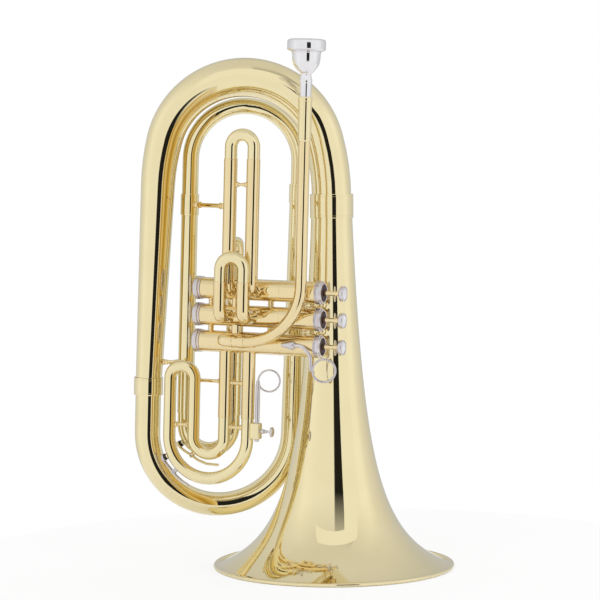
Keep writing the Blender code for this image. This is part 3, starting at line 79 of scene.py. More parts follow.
def in_wrap(along, back, up):
    """A place in the cluster, given in the wrap's millimetres."""
    return CLUSTER_IN_WRAP @ (Vector((along, back, up)) * MM) / MM


print("third valve's axis starts at", [round(1000 * v, 1) for v in CLUSTER @ Vector((-0.063, 0, -0.0276))])

# %% [markdown]
# The camera stands a little above the middle of the horn and looks slightly down, with a long lens,
# as in a catalogue picture. A long lens keeps the upright tubes nearly parallel.

# %% Camera
bpy.ops.object.camera_add(location=(-0.0338, -2.40, 0.4196))
camera = bpy.context.object
aim = Matrix.Rotation(math.radians(90 - 3.3), 4, "X") @ Matrix.Rotation(math.radians(-0.4), 4, "Z")
camera.matrix_world = Matrix.Translation(camera.location) @ aim
camera.data.lens = 137.6
camera.data.clip_start = 0.05
bpy.context.scene.camera = camera
print("camera height", camera.location.z)

# %% [markdown]
# Every material here is a small tree of shader nodes. These helpers add, set and link them.

# %% Shader helpers
def tune(node, **values):
    """Set a node's inputs by name, with _ for a space."""
    for name, value in values.items():
        node.inputs[name.replace("_", " ")].default_value = value
    return node


def add(tree, kind, **values):
    """A new shader node of a kind, with values for its inputs."""
    return tune(tree.nodes.new("ShaderNode" + kind), **values)


def sums(tree, operation, second=0.0):
    """A math node with a constant second term."""
    node = tree.nodes.new("ShaderNodeMath")
    node.operation = operation
    node.inputs[1].default_value = second
    return node


def wire(tree, *rows):
    """Link nodes. Each row is a node, its output, another node and its input."""
    for source, output, target, entry in rows:
        tree.links.new(source.outputs[output], target.inputs[entry])


def new_material(name):
    """A new material, its tree and its shader."""
    material = bpy.data.materials.new(name)
    material.use_nodes = True
    return material, material.node_tree, material.node_tree.nodes["Principled BSDF"]


print("shader helpers: 5")

# %% [markdown]
# The floor is a pale disc. It mixes a little of its own light in for the camera alone, so it reads
# as white paper and still keeps a soft shadow. It is small on purpose: the horn's tubes mirror what
# lies beyond its edge, which is where the studio's panels are.

# %% Floor
FLOOR_R = 0.42
GLOW_SHARE = 0.75
bpy.ops.object.select_all(action="DESELECT")
bpy.ops.mesh.primitive_circle_add(vertices=128, radius=FLOOR_R, fill_type="NGON", location=(0, 0, -0.0002))
floor = bpy.context.object
floor.name = "floor"
paper, tree, shader = new_material("pale_paper")
tune(shader, Base_Color=(0.92, 0.92, 0.92, 1), Roughness=0.9, Specular_IOR_Level=0.1)
glow, eye, mix = add(tree, "Emission", Strength=1.0), add(tree, "LightPath"), add(tree, "MixShader")
share = sums(tree, "MULTIPLY", GLOW_SHARE)
wire(
    tree, (eye, "Is Camera Ray", share, 0), (share, 0, mix, "Fac"), (shader, "BSDF", mix, 1),
    (glow, "Emission", mix, 2), (mix, "Shader", tree.nodes["Material Output"], "Surface"),
)
floor.data.materials.append(paper)
floor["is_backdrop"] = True
print("floor radius", FLOOR_R)

# %% [markdown]
# Polished metal has no look of its own: it shows the room. In the picture every upright tube has a
# black line right of its middle, which is a gap between two white panels. Tubes that lie across the
# picture have none. So the mirrored room is a ramp over the compass direction: white to the left and
# straight ahead, black for a band to the right, then white again. It ends in a grey ceiling above
# and in white below. Only mirror rays see it. The camera sees plain white, and matt surfaces get an
# even, plain light.

# %% The room that the metal mirrors
ROOM = (
    (-180, 0.52), (-155, 0.64), (-118, 0.78), (-95, 0.88), (-75, 1.0), (-42, 0.94), (-8, 0.93), (1, 0.96),
    (2, 0.015), (46, 0.015), (48, 0.95), (64, 1.0), (82, 1.0), (101, 0.84), (127, 0.72), (155, 0.60),
    (180, 0.52),
)
CEILING, GROUND = (0.45, 0.95, 0.74), (-0.32, -0.44, 0.95)
world = bpy.data.worlds.new("studio")
bpy.context.scene.world = world
world.use_nodes = True
tree = world.node_tree
tree.nodes.clear()
look, split = add(tree, "TexCoord"), add(tree, "SeparateXYZ")
front, compass = sums(tree, "MULTIPLY", -1), sums(tree, "ARCTAN2")
share = add(tree, "MapRange", From_Min=-math.pi, From_Max=math.pi)
ramp = add(tree, "ValToRGB")
for degrees, level in ROOM[1:-1]:
    ramp.color_ramp.elements.new(0.5 + degrees / 360)
for stop, (degrees, level) in zip(ramp.color_ramp.elements, ROOM):
    stop.color = (level, level, level * 0.98, 1)
wire(
    tree, (look, "Generated", split, 0), (split, "Y", front, 0), (split, "X", compass, 0),
    (front, 0, compass, 1), (compass, 0, share, "Value"), (share, 0, ramp, "Fac"),
)
last = ramp
for low, high, level in (CEILING, GROUND):
    edge = add(tree, "MapRange", From_Min=low, From_Max=high)
    cover = add(tree, "MixRGB", Color2=(level, level, level * 0.97, 1))
    wire(tree, (split, "Z", edge, "Value"), (edge, 0, cover, "Fac"), (last, "Color", cover, "Color1"))
    last = cover
mirror, plain = add(tree, "Background"), add(tree, "Background", Color=(1, 1, 1, 1))
eye, choose, out = add(tree, "LightPath"), add(tree, "MixShader"), add(tree, "OutputWorld")
wire(
    tree, (last, "Color", mirror, "Color"), (eye, "Is Glossy Ray", choose, "Fac"),
    (plain, "Background", choose, 1), (mirror, "Background", choose, 2), (choose, "Shader", out, "Surface"),
)
print("room stops", len(ROOM))

# %% [markdown]
# Three panels are real cards near the horn, because it is wide and tall. A white one ends the black
# band, further to the right on the left tubes than on the bell. A white one above keeps the band off
# the top bow. A third one, with amber stripes, stands between the left tubes and the valves: it is a
# painted reflection of neighbouring brass, which warms the right side of those tubes. Only mirror rays
# see the cards, and only from the front.

# %% The mirrored cards
def mirrored_card(name, place, turn, width, height, tones, fade=0.0):
    """A card with upright stripes of the given tones, which may fade at its top. Its back is clear."""
    material, tree, _ = new_material(name)
    across, parts = add(tree, "TexCoord"), add(tree, "SeparateXYZ")
    stripes = add(tree, "ValToRGB")
    for i in range(1, len(tones) - 1):
        stripes.color_ramp.elements.new(i / (len(tones) - 1))
    for stop, tone in zip(stripes.color_ramp.elements, tones):
        stop.color = (*tone, 1)
    light, clear = add(tree, "Emission"), add(tree, "BsdfTransparent")
    side, pick = add(tree, "NewGeometry"), add(tree, "MixShader")
    shift, most = sums(tree, "ADD", 0.5), sums(tree, "MAXIMUM")
    ebb = add(tree, "MapRange", From_Min=0.5 - fade, From_Max=0.5, To_Max=1.0 if fade else 0.0)
    wire(
        tree, (across, "Object", parts, 0), (parts, "X", shift, 0), (shift, 0, stripes, "Fac"),
        (stripes, "Color", light, "Color"), (parts, "Y", ebb, "Value"), (ebb, 0, most, 0),
        (side, "Backfacing", most, 1), (most, 0, pick, "Fac"), (light, "Emission", pick, 1),
        (clear, "BSDF", pick, 2), (pick, "Shader", tree.nodes["Material Output"], "Surface"),
    )
    tilt = (math.radians(90), 0, math.radians(turn))
    bpy.ops.mesh.primitive_plane_add(size=1, location=place, rotation=tilt)
    card = bpy.context.object
    card.name = name
    card.scale = (width, height, 1)
    card.visible_camera = card.visible_diffuse = card.visible_shadow = card.visible_transmission = False
    card.data.materials.append(material)
    card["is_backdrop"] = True


WHITE, GOLD, DEEP, PALE = (0.96, 0.96, 0.94), (0.66, 0.44, 0.11), (0.42, 0.25, 0.05), (0.80, 0.66, 0.36)
# Amber stripes for a painted reflection of brass tubes, mirrored on the right side of the left tubes.
PAINTED_REFLECTION_STRIPES = (PALE, GOLD, DEEP, GOLD, PALE, DEEP, GOLD, PALE)
mirrored_card("right_card", (1.375, -1.2, 0.5), 180, 1.75, 2.2, (WHITE, WHITE))
mirrored_card("top_card", (0.1, -0.5, 0.86), 180, 1.0, 0.48, (WHITE, WHITE))
# This card glows with a painted reflection of neighbouring brass; it is no lamp.
mirrored_card("painted_reflection_card", (-0.118, -0.05, 0.29), 270, 0.10, 0.46, PAINTED_REFLECTION_STRIPES, 0.2)
print("cards: 3")

# %% [markdown]
# Two soft panels of plain strength stand left and right of the camera, for the matt parts and the
# floor's shadow. Mirror rays don't see them.

# %% Soft panels
for name, place, size, power in (
    ("left_panel", (-1.6, -1.9, 1.5), 1.1, 5.0),
    ("right_panel", (1.9, -1.2, 1.1), 0.9, 2.5),
):
    bpy.ops.object.light_add(type="AREA", location=place)
    panel = bpy.context.object
    panel.name = name
    panel.data.size = size
    panel.data.energy = power
    panel.visible_glossy = False
    panel.rotation_euler = (Vector((-0.05, 0, 0.3)) - Vector(place)).to_track_quat("-Z", "Y").to_euler()
print("panels at plain strength")

# %% [markdown]
# Lacquered brass is a yellow metal under a clear coat. Real tube is never perfectly even: it was
# drawn, bent and buffed, so its colour drifts a little and its surface carries faint waves and hair
# lines. Two noises on object coordinates do that: a slow one moves the colour, a fine one moves the
# polish and feeds a very weak bump. The casings, sleeves and leadpipe are a warmer brass than the
# bell and bows. Silver plate is the same idea with cooler colours, bright on the mouthpiece and
# satin on the small parts.

# %% Metals
def toned(tree, edge, dark, light):
    """A ramp between two tones, from an edge to the same distance before its end."""
    ramp = add(tree, "ValToRGB")
    for stop, place, tone in zip(ramp.color_ramp.elements, (edge, 1 - edge), (dark, light)):
        stop.position, stop.color = place, (*tone, 1)
    return ramp


def metal(name, colour, deeper, smooth, rough, coat, wave):
    """A polished metal whose colour and polish drift a little over the surface."""
    material, tree, shader = new_material(name)
    tune(shader, Metallic=1.0, Coat_Weight=coat, Coat_Roughness=0.02)
    spot, drift = add(tree, "TexCoord"), add(tree, "TexNoise", Scale=26, Detail=4)
    tones, lines = toned(tree, 0.38, deeper, colour), add(tree, "TexNoise", Scale=210, Detail=5)
    polish = add(tree, "MapRange", To_Min=smooth, To_Max=rough)
    bump = add(tree, "Bump", Strength=wave, Distance=0.001)
    wire(
        tree, (spot, "Object", drift, "Vector"), (spot, "Object", lines, "Vector"),
        (drift, "Fac", tones, "Fac"), (tones, "Color", shader, "Base Color"), (lines, "Fac", polish, "Value"),
        (polish, 0, shader, "Roughness"), (lines, "Fac", bump, "Height"), (bump, "Normal", shader, "Normal"),
    )
    return material


brass = metal("lacquered_brass", (0.875, 0.77, 0.48), (0.86, 0.75, 0.455), 0.02, 0.05, 0.5, 0.004)
warm = metal("warm_brass", (0.87, 0.715, 0.42), (0.85, 0.69, 0.39), 0.02, 0.05, 0.5, 0.004)
silver = metal("silver_plate", (0.86, 0.85, 0.88), (0.80, 0.79, 0.83), 0.04, 0.10, 0.0, 0.006)
satin = metal("satin_silver", (0.70, 0.66, 0.68), (0.62, 0.58, 0.61), 0.10, 0.20, 0.0, 0.01)
nickel = metal("piston_nickel", (0.62, 0.61, 0.60), (0.54, 0.53, 0.53), 0.16, 0.30, 0.0, 0.03)
steel = metal("spring_steel", (0.46, 0.47, 0.50), (0.38, 0.39, 0.42), 0.22, 0.36, 0.0, 0.04)
print("metals:", [m.name for m in (brass, warm, silver, satin, nickel, steel)])

# %% [markdown]
# Felt, cork and pearl are the matt materials. Felt is a mat of fibres: a fine noise breaks its
# colour and raises it, and sheen lightens it where it is seen at a slant. Cork has small darker
# pits. The buttons' pearl has slow milky clouds.

# %% Matt materials
def matt(name, dark, light, scale, rough, height, sheen=0.0):
    """A matt material with a mottled colour and a raised grain of the same pattern."""
    material, tree, shader = new_material(name)
    tune(shader, Roughness=rough, Sheen_Weight=sheen)
    spot, tones = add(tree, "TexCoord"), toned(tree, 0.35, dark, light)
    grain = add(tree, "TexNoise", Scale=scale, Detail=8, Roughness=0.7)
    bump = add(tree, "Bump", Strength=0.6, Distance=height)
    wire(
        tree, (spot, "Object", grain, "Vector"), (grain, "Fac", tones, "Fac"),
        (tones, "Color", shader, "Base Color"), (grain, "Fac", bump, "Height"),
        (bump, "Normal", shader, "Normal"),
    )
    return material


felt = matt("burgundy_felt", (0.016, 0.003, 0.005), (0.055, 0.010, 0.015), 900, 0.95, 0.0003, 0.15)
cork = matt("black_cork", (0.010, 0.009, 0.008), (0.045, 0.038, 0.032), 700, 0.8, 0.0003)
pearl = matt("button_pearl", (0.62, 0.61, 0.64), (0.86, 0.85, 0.86), 120, 0.18, 0.00002)
print("matt:", [m.name for m in (felt, cork, pearl)])

# %% [markdown]
# A tube can be pulled by hand from one circle. Extruding the circle makes a straight run, spinning
# it round a point makes a bend, and scaling the open ring makes a cone or a shoulder. The same four
# moves turn a cap or a ferrule, if the ring goes up its axis and changes size. One small class keeps
# the place, direction and radius of the open ring, so that each piece reads like its route.

# %% A tube pulled ring by ring
BEND_STEP, DRIFT_STEP = 4.5, 12  # degrees between rings in a bend, millimetres in a drifting run


class Pipe:
    """A tube or a turned piece, pulled from one circle. All lengths are in millimetres."""

    def __init__(self, name, start, way, radius, sides=48, drift=None):
        self.point, self.way, self.radius = Vector(start), Vector(way).normalized(), radius
        self.drift, self.gone = drift, 0.0
        self.aside = drift(self.point, 0.0) if drift else Vector()
        bpy.ops.object.select_all(action="DESELECT")
        turn = self.way.to_track_quat("Z", "Y").to_euler()
        place = self.centre()
        bpy.ops.mesh.primitive_circle_add(vertices=sides, radius=radius * MM, location=place, rotation=turn)
        self.obj = bpy.context.object
        self.obj.name = self.obj.data.name = name
        bpy.ops.object.transform_apply()
        bpy.ops.object.mode_set(mode="EDIT")
        bpy.ops.mesh.select_all(action="SELECT")

    def centre(self):
        return (self.point + self.aside) * MM

    def size(self, radius):
        """Scale the open ring about its centre."""
        k = radius / self.radius
        bpy.ops.transform.resize(value=(k, k, k), center_override=self.centre())
        self.radius = radius
        return self

    def stretch(self, x, y, z):
        """Make the open ring oval."""
        bpy.ops.transform.resize(value=(x, y, z), center_override=self.centre())
        return self

    def shift(self):
        """Move the open ring sideways by what the drift adds here."""
        if self.drift:
            new = self.drift(self.point, self.gone)
            bpy.ops.transform.translate(value=(new - self.aside) * MM)
            self.aside = new

    def run(self, length, radius=None):
        """Go straight on. A length of 0 with a new radius makes a flat shoulder."""
        steps = max(1, math.ceil(abs(length) / DRIFT_STEP)) if self.drift else 1
        first = self.radius
        for i in range(steps):
            bpy.ops.mesh.extrude_region_move(TRANSFORM_OT_translate={"value": self.way * length / steps * MM})
            self.point = self.point + self.way * (length / steps)
            self.gone += length / steps
            self.shift()
            if radius:
                self.size(first + (radius - first) * (i + 1) / steps)
        return self

    def bend(self, towards, bow, radius=None):
        """Turn to a new direction round a bow. The tube may grow or shrink on the way."""
        towards = Vector(towards).normalized()
        turn = self.way.angle(towards)
        side = (towards - self.way * towards.dot(self.way)).normalized()
        centre, axis = self.point + side * bow, self.way.cross(side)
        steps = max(4, math.ceil(math.degrees(turn) / BEND_STEP))
        moves, rings = (steps, 1) if radius or self.drift else (1, steps)
        first, part = self.radius, turn / moves
        for i in range(moves):
            bpy.ops.mesh.spin(steps=rings, angle=-part, center=centre * MM, axis=axis)
            self.point = centre + Matrix.Rotation(part, 3, axis) @ (self.point - centre)
            self.gone += bow * part
            self.shift()
            if radius:
                self.size(first + (radius - first) * (i + 1) / moves)
        self.way = towards
        return self

    def follow(self, corners, bow):
        """Run to each corner in turn, and round it with a bow of the given radius."""
        corners = [Vector(c) for c in corners]
        for corner, after in zip(corners, corners[1:]):
            out = (after - corner).normalized()
            turn = self.way.angle(out)
            room = bow * math.tan(turn / 2)
            self.run((corner - self.point).dot(self.way) - room)
            if turn > 0.001:
                self.bend(out, bow)
        return self.run((corners[-1] - self.point).dot(self.way))

    def band(self, rise, width):
        """A raised band round the tube, or with a negative rise a fine groove."""
        plain = self.radius
        return self.run(0, plain + rise).run(width).run(0, plain)

    def outline(self, *steps):
        """Follow an outline of (distance from here, radius)."""
        start = self.point.copy()
        for distance, radius in steps:
            here = (self.point - start).dot(self.way)
            self.run(distance - here, radius)
        return self

    def mouth(self, bore, depth):
        """End in an open mouth: a fine lip, then back down the inside."""
        wide = self.radius
        self.run(0.15, wide + 0.12).run(1.1).run(0.15, wide - 0.1).run(0, bore)
        return self.run(-depth)


def turned(name, start, way, outline, sides=48):
    """A turned piece from an outline of (distance along the axis, radius)."""
    way = Vector(way).normalized()
    first, radius = outline[0]
    pipe = Pipe(name, Vector(start) + way * first, way, radius, sides)
    return pipe.outline(*[(distance - first, size) for distance, size in outline[1:]])


def eased(points, count=5):
    """More points on a smooth line through an outline's points."""
    result = [points[0]]
    ends = [points[0], *points, points[-1]]
    for a, b, c, d in zip(ends, ends[1:], ends[2:], ends[3:]):
        for i in range(1, count + 1):
            t = i / count
            result.append(tuple(
                0.5 * (2 * q + (r - p) * t + (2 * p - 5 * q + 4 * r - s) * t * t
                       + (3 * q - p - 3 * r + s) * t ** 3)
                for p, q, r, s in zip(a, b, c, d)
            ))
    return result


def ball(middle, radius, low=-90.0, high=90.0, count=10):
    """Outline points of a ball, from one angle to another."""
    turns = [math.radians(low + (high - low) * i / count) for i in range(count + 1)]
    return [(middle + radius * math.sin(t), max(0.05, radius * math.cos(t))) for t in turns]


print("pipe ready")

# %% [markdown]
# When a mesh is done, its doubles are merged and its open ends filled, and its normals are made to
# face outwards, because spinning can leave them inside out. Then it is turned into its place, gets
# its finish, rides on its body, and stands for the solid that it was made from.

# %% Finish a piece
SHARP = math.radians(38)  # edges sharper than this stay edges


def dress(shape, finish, body="horn", place=CLUSTER, node=None):
    """Close, turn and smooth a piece, give it its finish, attach it to its body, and hide the solid of its
    name, if there is one.
    """
    obj = shape.obj if isinstance(shape, Pipe) else shape
    bpy.ops.object.mode_set(mode="OBJECT")
    bpy.ops.object.select_all(action="DESELECT")
    obj.select_set(True)
    bpy.context.view_layer.objects.active = obj
    bpy.ops.object.mode_set(mode="EDIT")
    bpy.ops.mesh.select_all(action="SELECT")
    bpy.ops.mesh.remove_doubles(threshold=0.00001)
    bpy.ops.mesh.select_all(action="DESELECT")
    bpy.ops.mesh.select_non_manifold(
        extend=False, use_wire=False, use_multi_face=False, use_non_contiguous=False, use_verts=False,
    )
    bpy.ops.mesh.fill_holes(sides=0)
    bpy.ops.mesh.select_all(action="SELECT")
    bpy.ops.mesh.normals_make_consistent(inside=False)
    bpy.ops.object.mode_set(mode="OBJECT")
    obj.matrix_world = place @ obj.matrix_world
    bpy.ops.object.transform_apply()
    bpy.ops.object.shade_smooth_by_angle(angle=SHARP)
    obj.data.materials.clear()
    obj.data.materials.append(finish)
    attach(obj, body)
    node = node or obj.name.split(".")[0]
    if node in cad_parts:
        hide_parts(node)


def lathe(name, start, way, outline, sides, finish, body="horn", place=CLUSTER):
    """Turn a piece and dress it."""
    dress(turned(name, start, way, outline, sides), finish, body, place)


print("ready to dress pieces")

# %% [markdown]
# The bell is one sheet, spun on a former until it flares like a horn: its radius falls with a power
# of the height. Its edge is rolled over a wire, which makes the bead that it stands on. The outline
# goes up the outside and down the inside, with closer steps near the rim, where it turns fastest.

# %% Bell
RIM_R, TAIL_R, BELL_TOP, FLARE_POWER, BELL_WALL = 127, 21.1, 379, 0.733, 0.62
WIRE_R, WIRE_RING_R = 2.05, 124.93
FLARE_OFFSET = BELL_TOP / ((RIM_R / TAIL_R) ** (1 / FLARE_POWER) - 1)


def bell_radius(z):
    """The bell's outer radius at a height, in mm."""
    return RIM_R * (FLARE_OFFSET / (z + FLARE_OFFSET)) ** FLARE_POWER


heights = [3.6 + (BELL_TOP - 3.6) * (i / 90) ** 2.0 for i in range(91)]
bell = Pipe("bell_flare", (0, 0, heights[0]), UP, bell_radius(heights[0]), 160)
for z in heights[1:]:
    bell.run(z - bell.point.z, bell_radius(z))
bell.run(0, 20.3)
for z in reversed(heights):
    bell.run(z - 0.75 - bell.point.z, bell_radius(z) - BELL_WALL)
for i in range(19):
    angle = math.radians(205 + 320 * i / 18)
    bell.run(WIRE_R + WIRE_R * math.sin(angle) - bell.point.z, WIRE_RING_R + WIRE_R * math.cos(angle))
bell.run(heights[0] - bell.point.z, bell_radius(heights[0]))
dress(bell, brass, "horn", UPRIGHT, "bell")
print("bell radius at 100 mm:", round(bell_radius(100), 1))

# %% [markdown]
# Where the bell's tail meets the main bow, a turned sleeve covers the joint. It is not a plain
# ring: a hair line near each end catches the light, and its edges are rounded so that it can be
# soldered cleanly. All the ferrules here are turned the same way, only in other sizes.

# %% Ferrules
def ferrule(name, start, length, radius, inner, place=WRAP):
    """A sleeve with rounded ends, a hair line near each end and a hollow bore."""
    edge, floor_r = 0.45, radius - 0.22
    outline = [(0, inner), (0, radius - edge), (edge * 0.3, radius - edge * 0.3), (edge, radius)]
    for low in (2.2, length - 2.7):
        outline += [(low, radius), (low + 0.1, floor_r), (low + 0.4, floor_r), (low + 0.5, radius)]
    outline += [(length - edge, radius), (length - edge * 0.3, radius - edge * 0.3), (length, radius - edge)]
    outline += [(length, inner), (0, inner)]
    lathe(name, start, UP, outline, 64, brass, "horn", place)


ferrule("bell_ferrule", (0, 0, 367.0), 25.0, 22.7, bell_radius(367.0) + 0.3, place=UPRIGHT)
JOINT_X, JOINT_H = -194.66, 190
LEFT_Y, RIGHT_Y = 16, 34
RIGHT_X, RIGHT_TOP = -46.8, 391
INNER_X, INNER_LOW, INNER_TURN_H = -161, 377, 425.1
left_leg_top = WRAP.inverted() @ Vector((JOINT_X, LEFT_Y, JOINT_H))
ferrule("bow_ferrule", (left_leg_top.x, LEFT_Y, left_leg_top.z - 8.8), 18.5, 15.4, 14.55)
ferrule("leg_ferrule", (RIGHT_X, RIGHT_Y, RIGHT_TOP - 10), 20.0, 10.1, 9.5)
ferrule("inner_ferrule", (INNER_X, LEFT_Y, INNER_LOW - 11), 22.0, 9.7, 9.0)
print("ferrules: 4")

# %% [markdown]
# The main bow is a cone all the way. A maker fills a tapered tube with pitch and pulls it round a
# former: straight up the left side, a wide arc for the flank, a tighter one over the top, and down
# again. The ring grows a little at each step. It also drifts 16 mm forward on the way, so that it
# meets the bell.

# %% Main bow
MAIN_DRIFT_L = 517.9
FLANK_BOW, TOP_BOW = 238.61, 86.0


def ease(share):
    """A soft step from 0 to 1."""
    share = min(1.0, max(0.0, share))
    return share * share * (3 - 2 * share)


def main_drift(point, gone):
    return Vector((0, LEFT_Y * (1 - ease(gone / MAIN_DRIFT_L)), 0))


def heading(degrees, down=False):
    """A direction in the picture plane, turned to the right from upright."""
    turn = math.radians(degrees)
    return Vector((math.sin(turn), 0, -math.cos(turn) if down else math.cos(turn)))


main_bow = Pipe("main_bow", (JOINT_X, 0, JOINT_H), heading(3.4), 13.7, 64, main_drift)
main_bow.run(213.38, 17.89).bend(heading(15), FLANK_BOW, 18.85)
main_bow.bend(ALONG, TOP_BOW, 20.3).bend(heading(15, True), TOP_BOW, 20.5)
main_bow.bend(DOWN, FLANK_BOW, 20.6).run(9.55, 20.6)
dress(main_bow, brass, "horn", UPRIGHT)
print("main bow ends at", [round(v, 1) for v in main_bow.point])

# %% [markdown]
# The bottom bow carries the cone on: round at the bottom and up the long right leg, always
# narrower. From there the inner bow leads over to the tuning slide. Both bend the same way, and
# both step a little backwards, which is why the tubes pass behind one another without touching.

# %% Bottom bow and inner bow
BOW_RIGHT_X, BOW_CENTRE_H = -47.9, 135.4
LEG_LEAN = (1.1, 0, 255.6)
left_x = left_leg_top.x
bow_r = (BOW_RIGHT_X - left_x) / 2


def step_back(first, last):
    """A drift from the left tubes' depth to the right ones', between two places across."""
    depth = RIGHT_Y - LEFT_Y
    return lambda point, gone: Vector((0, LEFT_Y + depth * ease((point.x - first) / (last - first)), 0))


drift = step_back(left_x, BOW_RIGHT_X)
bottom_bow = Pipe("bottom_bow", (left_x, 0, left_leg_top.z - 0.6), DOWN, 13.5, 64, drift)
bottom_bow.run(bottom_bow.point.z - BOW_CENTRE_H)
bottom_bow.bend(ALONG, bow_r, 12.4).bend(LEG_LEAN, bow_r, 11.5)
bottom_bow.run((RIGHT_TOP - bottom_bow.point.z) / bottom_bow.way.z, 9.2)
dress(bottom_bow, brass, "horn", WRAP)

inner_bow_r = (RIGHT_X - INNER_X) / 2
inner_bow = Pipe("inner_bow", (INNER_X, 0, INNER_LOW), UP, 8.6, 48, step_back(INNER_X, RIGHT_X))
inner_bow.run(INNER_TURN_H - INNER_LOW)
inner_bow.bend(ALONG, inner_bow_r).bend(DOWN, inner_bow_r)
inner_bow.run(INNER_TURN_H - RIGHT_TOP - 0.3)
dress(inner_bow, brass, "horn", WRAP)
print("bottom bow radius", round(bow_r, 1))

# %% [markdown]
# A stay is a turned bar with a ball foot at each end, soldered between two tubes so that the horn
# does not flex. On a lathe it is one outline: ball, collar, thin bar, collar, ball.

# %% Stays
def stay(name, start, end, start_gap, end_gap, foot=3.5, bar=3.0, body="horn", place=WRAP):
    """A turned stay between two tube axes, whose feet reach a little into both skins."""
    start, end = Vector(start), Vector(end)
    way = (end - start).normalized()
    length = (end - start).length - start_gap - end_gap
    if length > 6 * foot:
        half = [(-0.5, foot * 0.85), (0.2, foot * 0.92), *ball(foot * 0.75, foot, -30, 55, 7)]
        half += [(foot * 1.75, bar * 0.85), (foot * 2.2, bar * 0.8), (foot * 2.3, bar * 1.12)]
        half += [(foot * 2.6, bar * 1.12), (foot * 2.7, bar * 0.82), (foot * 3.3, bar * 0.78)]
    else:
        half = [(-0.5, foot * 0.85), (0.3, foot * 0.95), (length * 0.1, foot * 0.95)]
        half += [(length * 0.14, foot * 0.8), (length * 0.2, bar * 0.95), (length * 0.26, bar * 0.95)]
        half += [(length * 0.3, bar * 0.75)]
    outline = half + [(length - d, r) for d, r in reversed(half)]
    lathe(name, start + way * start_gap, way, outline, 32, warm, body, place)


LEFT_STAY_H = 210
main_high = WRAP.inverted() @ Vector((-181.98, LEFT_Y, 403.5))
share = (LEFT_STAY_H - left_leg_top.z) / (main_high.z - left_leg_top.z)
stay_start = left_leg_top + (main_high - left_leg_top) * share
stay_start.y = 15.5
stay("stay_left", stay_start, (INNER_X, LEFT_Y, LEFT_STAY_H), 13.7 + 4.19 * share, 8.7)
sleeve_axis = in_wrap(-27, -20, 0)
stay("stay_slide", (INNER_X, LEFT_Y, 377), (sleeve_axis.x, sleeve_axis.y, 377), 9.7, 7.0)
print("stays: 2")

# %% [markdown]
# The main tuning slide is a bow whose two thin legs slide in two outer sleeves. The legs are a
# little thinner than the bow itself, and at rest only the hair line at each sleeve's mouth shows.
# Each sleeve is pulled along its outside, turned in at the mouth, and led back down its bore.

# %% Main tuning slide
TUNING_SLEEVE_R, TUNING_R, TUNING_LEG_R = 8.7, 8.0, 7.7
MOUTH_L = 1.4  # of a sleeve's lip
tuning_left, tuning_right = Vector((INNER_X, LEFT_Y, 0)), Vector((-110.8, 3, 0))
tuning_across = (tuning_right - tuning_left).normalized()
tuning_r = (tuning_right - tuning_left).length / 2
for side, axis, top in (("left", tuning_left, 376.7), ("right", tuning_right, 307.4)):
    sleeve = Pipe(f"tuning_sleeve_{side}", axis + UP * top, DOWN, TUNING_SLEEVE_R)
    sleeve.run(top - 157 - MOUTH_L).mouth(TUNING_R, 66)
    dress(sleeve, brass, "horn", WRAP)
stay_ends = (tuning_left + UP * 192, tuning_right + UP * 192)
stay("tuning_stay", *stay_ends, TUNING_SLEEVE_R, TUNING_SLEEVE_R, 3.0, 2.4)
tuning_crook = Pipe("tuning_crook", tuning_left + UP * 218, DOWN, TUNING_LEG_R)
tuning_crook.run(61.6).run(0, TUNING_R).run(11.6)
tuning_crook.bend(tuning_across, tuning_r).bend(UP, tuning_r)
tuning_crook.run(11.6).run(0, TUNING_LEG_R).run(61.6)
dress(tuning_crook, brass, "tuning_slide", WRAP)
print("tuning bow radius", round(tuning_r, 2))

# %% [markdown]
# The link bow takes the tube from the tuning slide over into the top of the first valve.

# %% Link bow
PITCH = 27.6  # from casing to casing
link_foot = in_wrap(-26.4, 0, PITCH)
link_across = Vector((tuning_right.x - link_foot.x, tuning_right.y - link_foot.y, 0))
link_r = link_across.length / 2
link_top = 337.6 - link_r
link_bow = Pipe("link_bow", link_foot + UP * 9.6, UP, 7.4)
link_bow.run(link_top - link_bow.point.z)
link_bow.bend(link_across, link_r).bend(DOWN, link_r)
link_bow.run(link_top - 307.7)
dress(link_bow, brass, "horn", WRAP)
collar_outline = [(0, 8.6), (0, 9.0), (0.4, 9.3), (9.0, 9.3), (9.4, 9.0), (9.4, 7.3), (0, 7.3), (0, 8.6)]
lathe("link_collar", tuning_right + UP * 299.5, UP, collar_outline, 48, brass, "horn", WRAP)
print("link bow radius", round(link_r, 2))

# %% [markdown]
# A valve casing is a straight tube, bored very true. Its outside is turned and has one hair line
# where the lower and upper part meet. The tube is pulled along its outside and back through the
# bore, so that the piston has its real space inside.

# %% Valve casings
VALVES = (1, 2, 3)
CASING_R, BORE_R, CASING_LOW, CASING_TOP, LINE_S = 11.2, 10.2, -63, 67.5, 25.6
casing_h = {n: PITCH * (2 - n) for n in VALVES}
casing_outline = [
    (CASING_LOW, BORE_R), (CASING_LOW, CASING_R), (LINE_S, CASING_R), (LINE_S + 0.05, CASING_R - 0.25),
    (LINE_S + 0.4, CASING_R - 0.25), (LINE_S + 0.45, CASING_R), (CASING_TOP, CASING_R), (CASING_TOP, BORE_R),
    (CASING_LOW, BORE_R),
]
for n in VALVES:
    lathe(f"casing_{n}", UP * casing_h[n], ALONG, casing_outline, 96, warm)
print("casings: 3")

# %% [markdown]
# Between the casings stand short turned posts, with a flange at each end and a bead in the middle,
# and one knuckle of tube, through which the air goes from valve to valve.

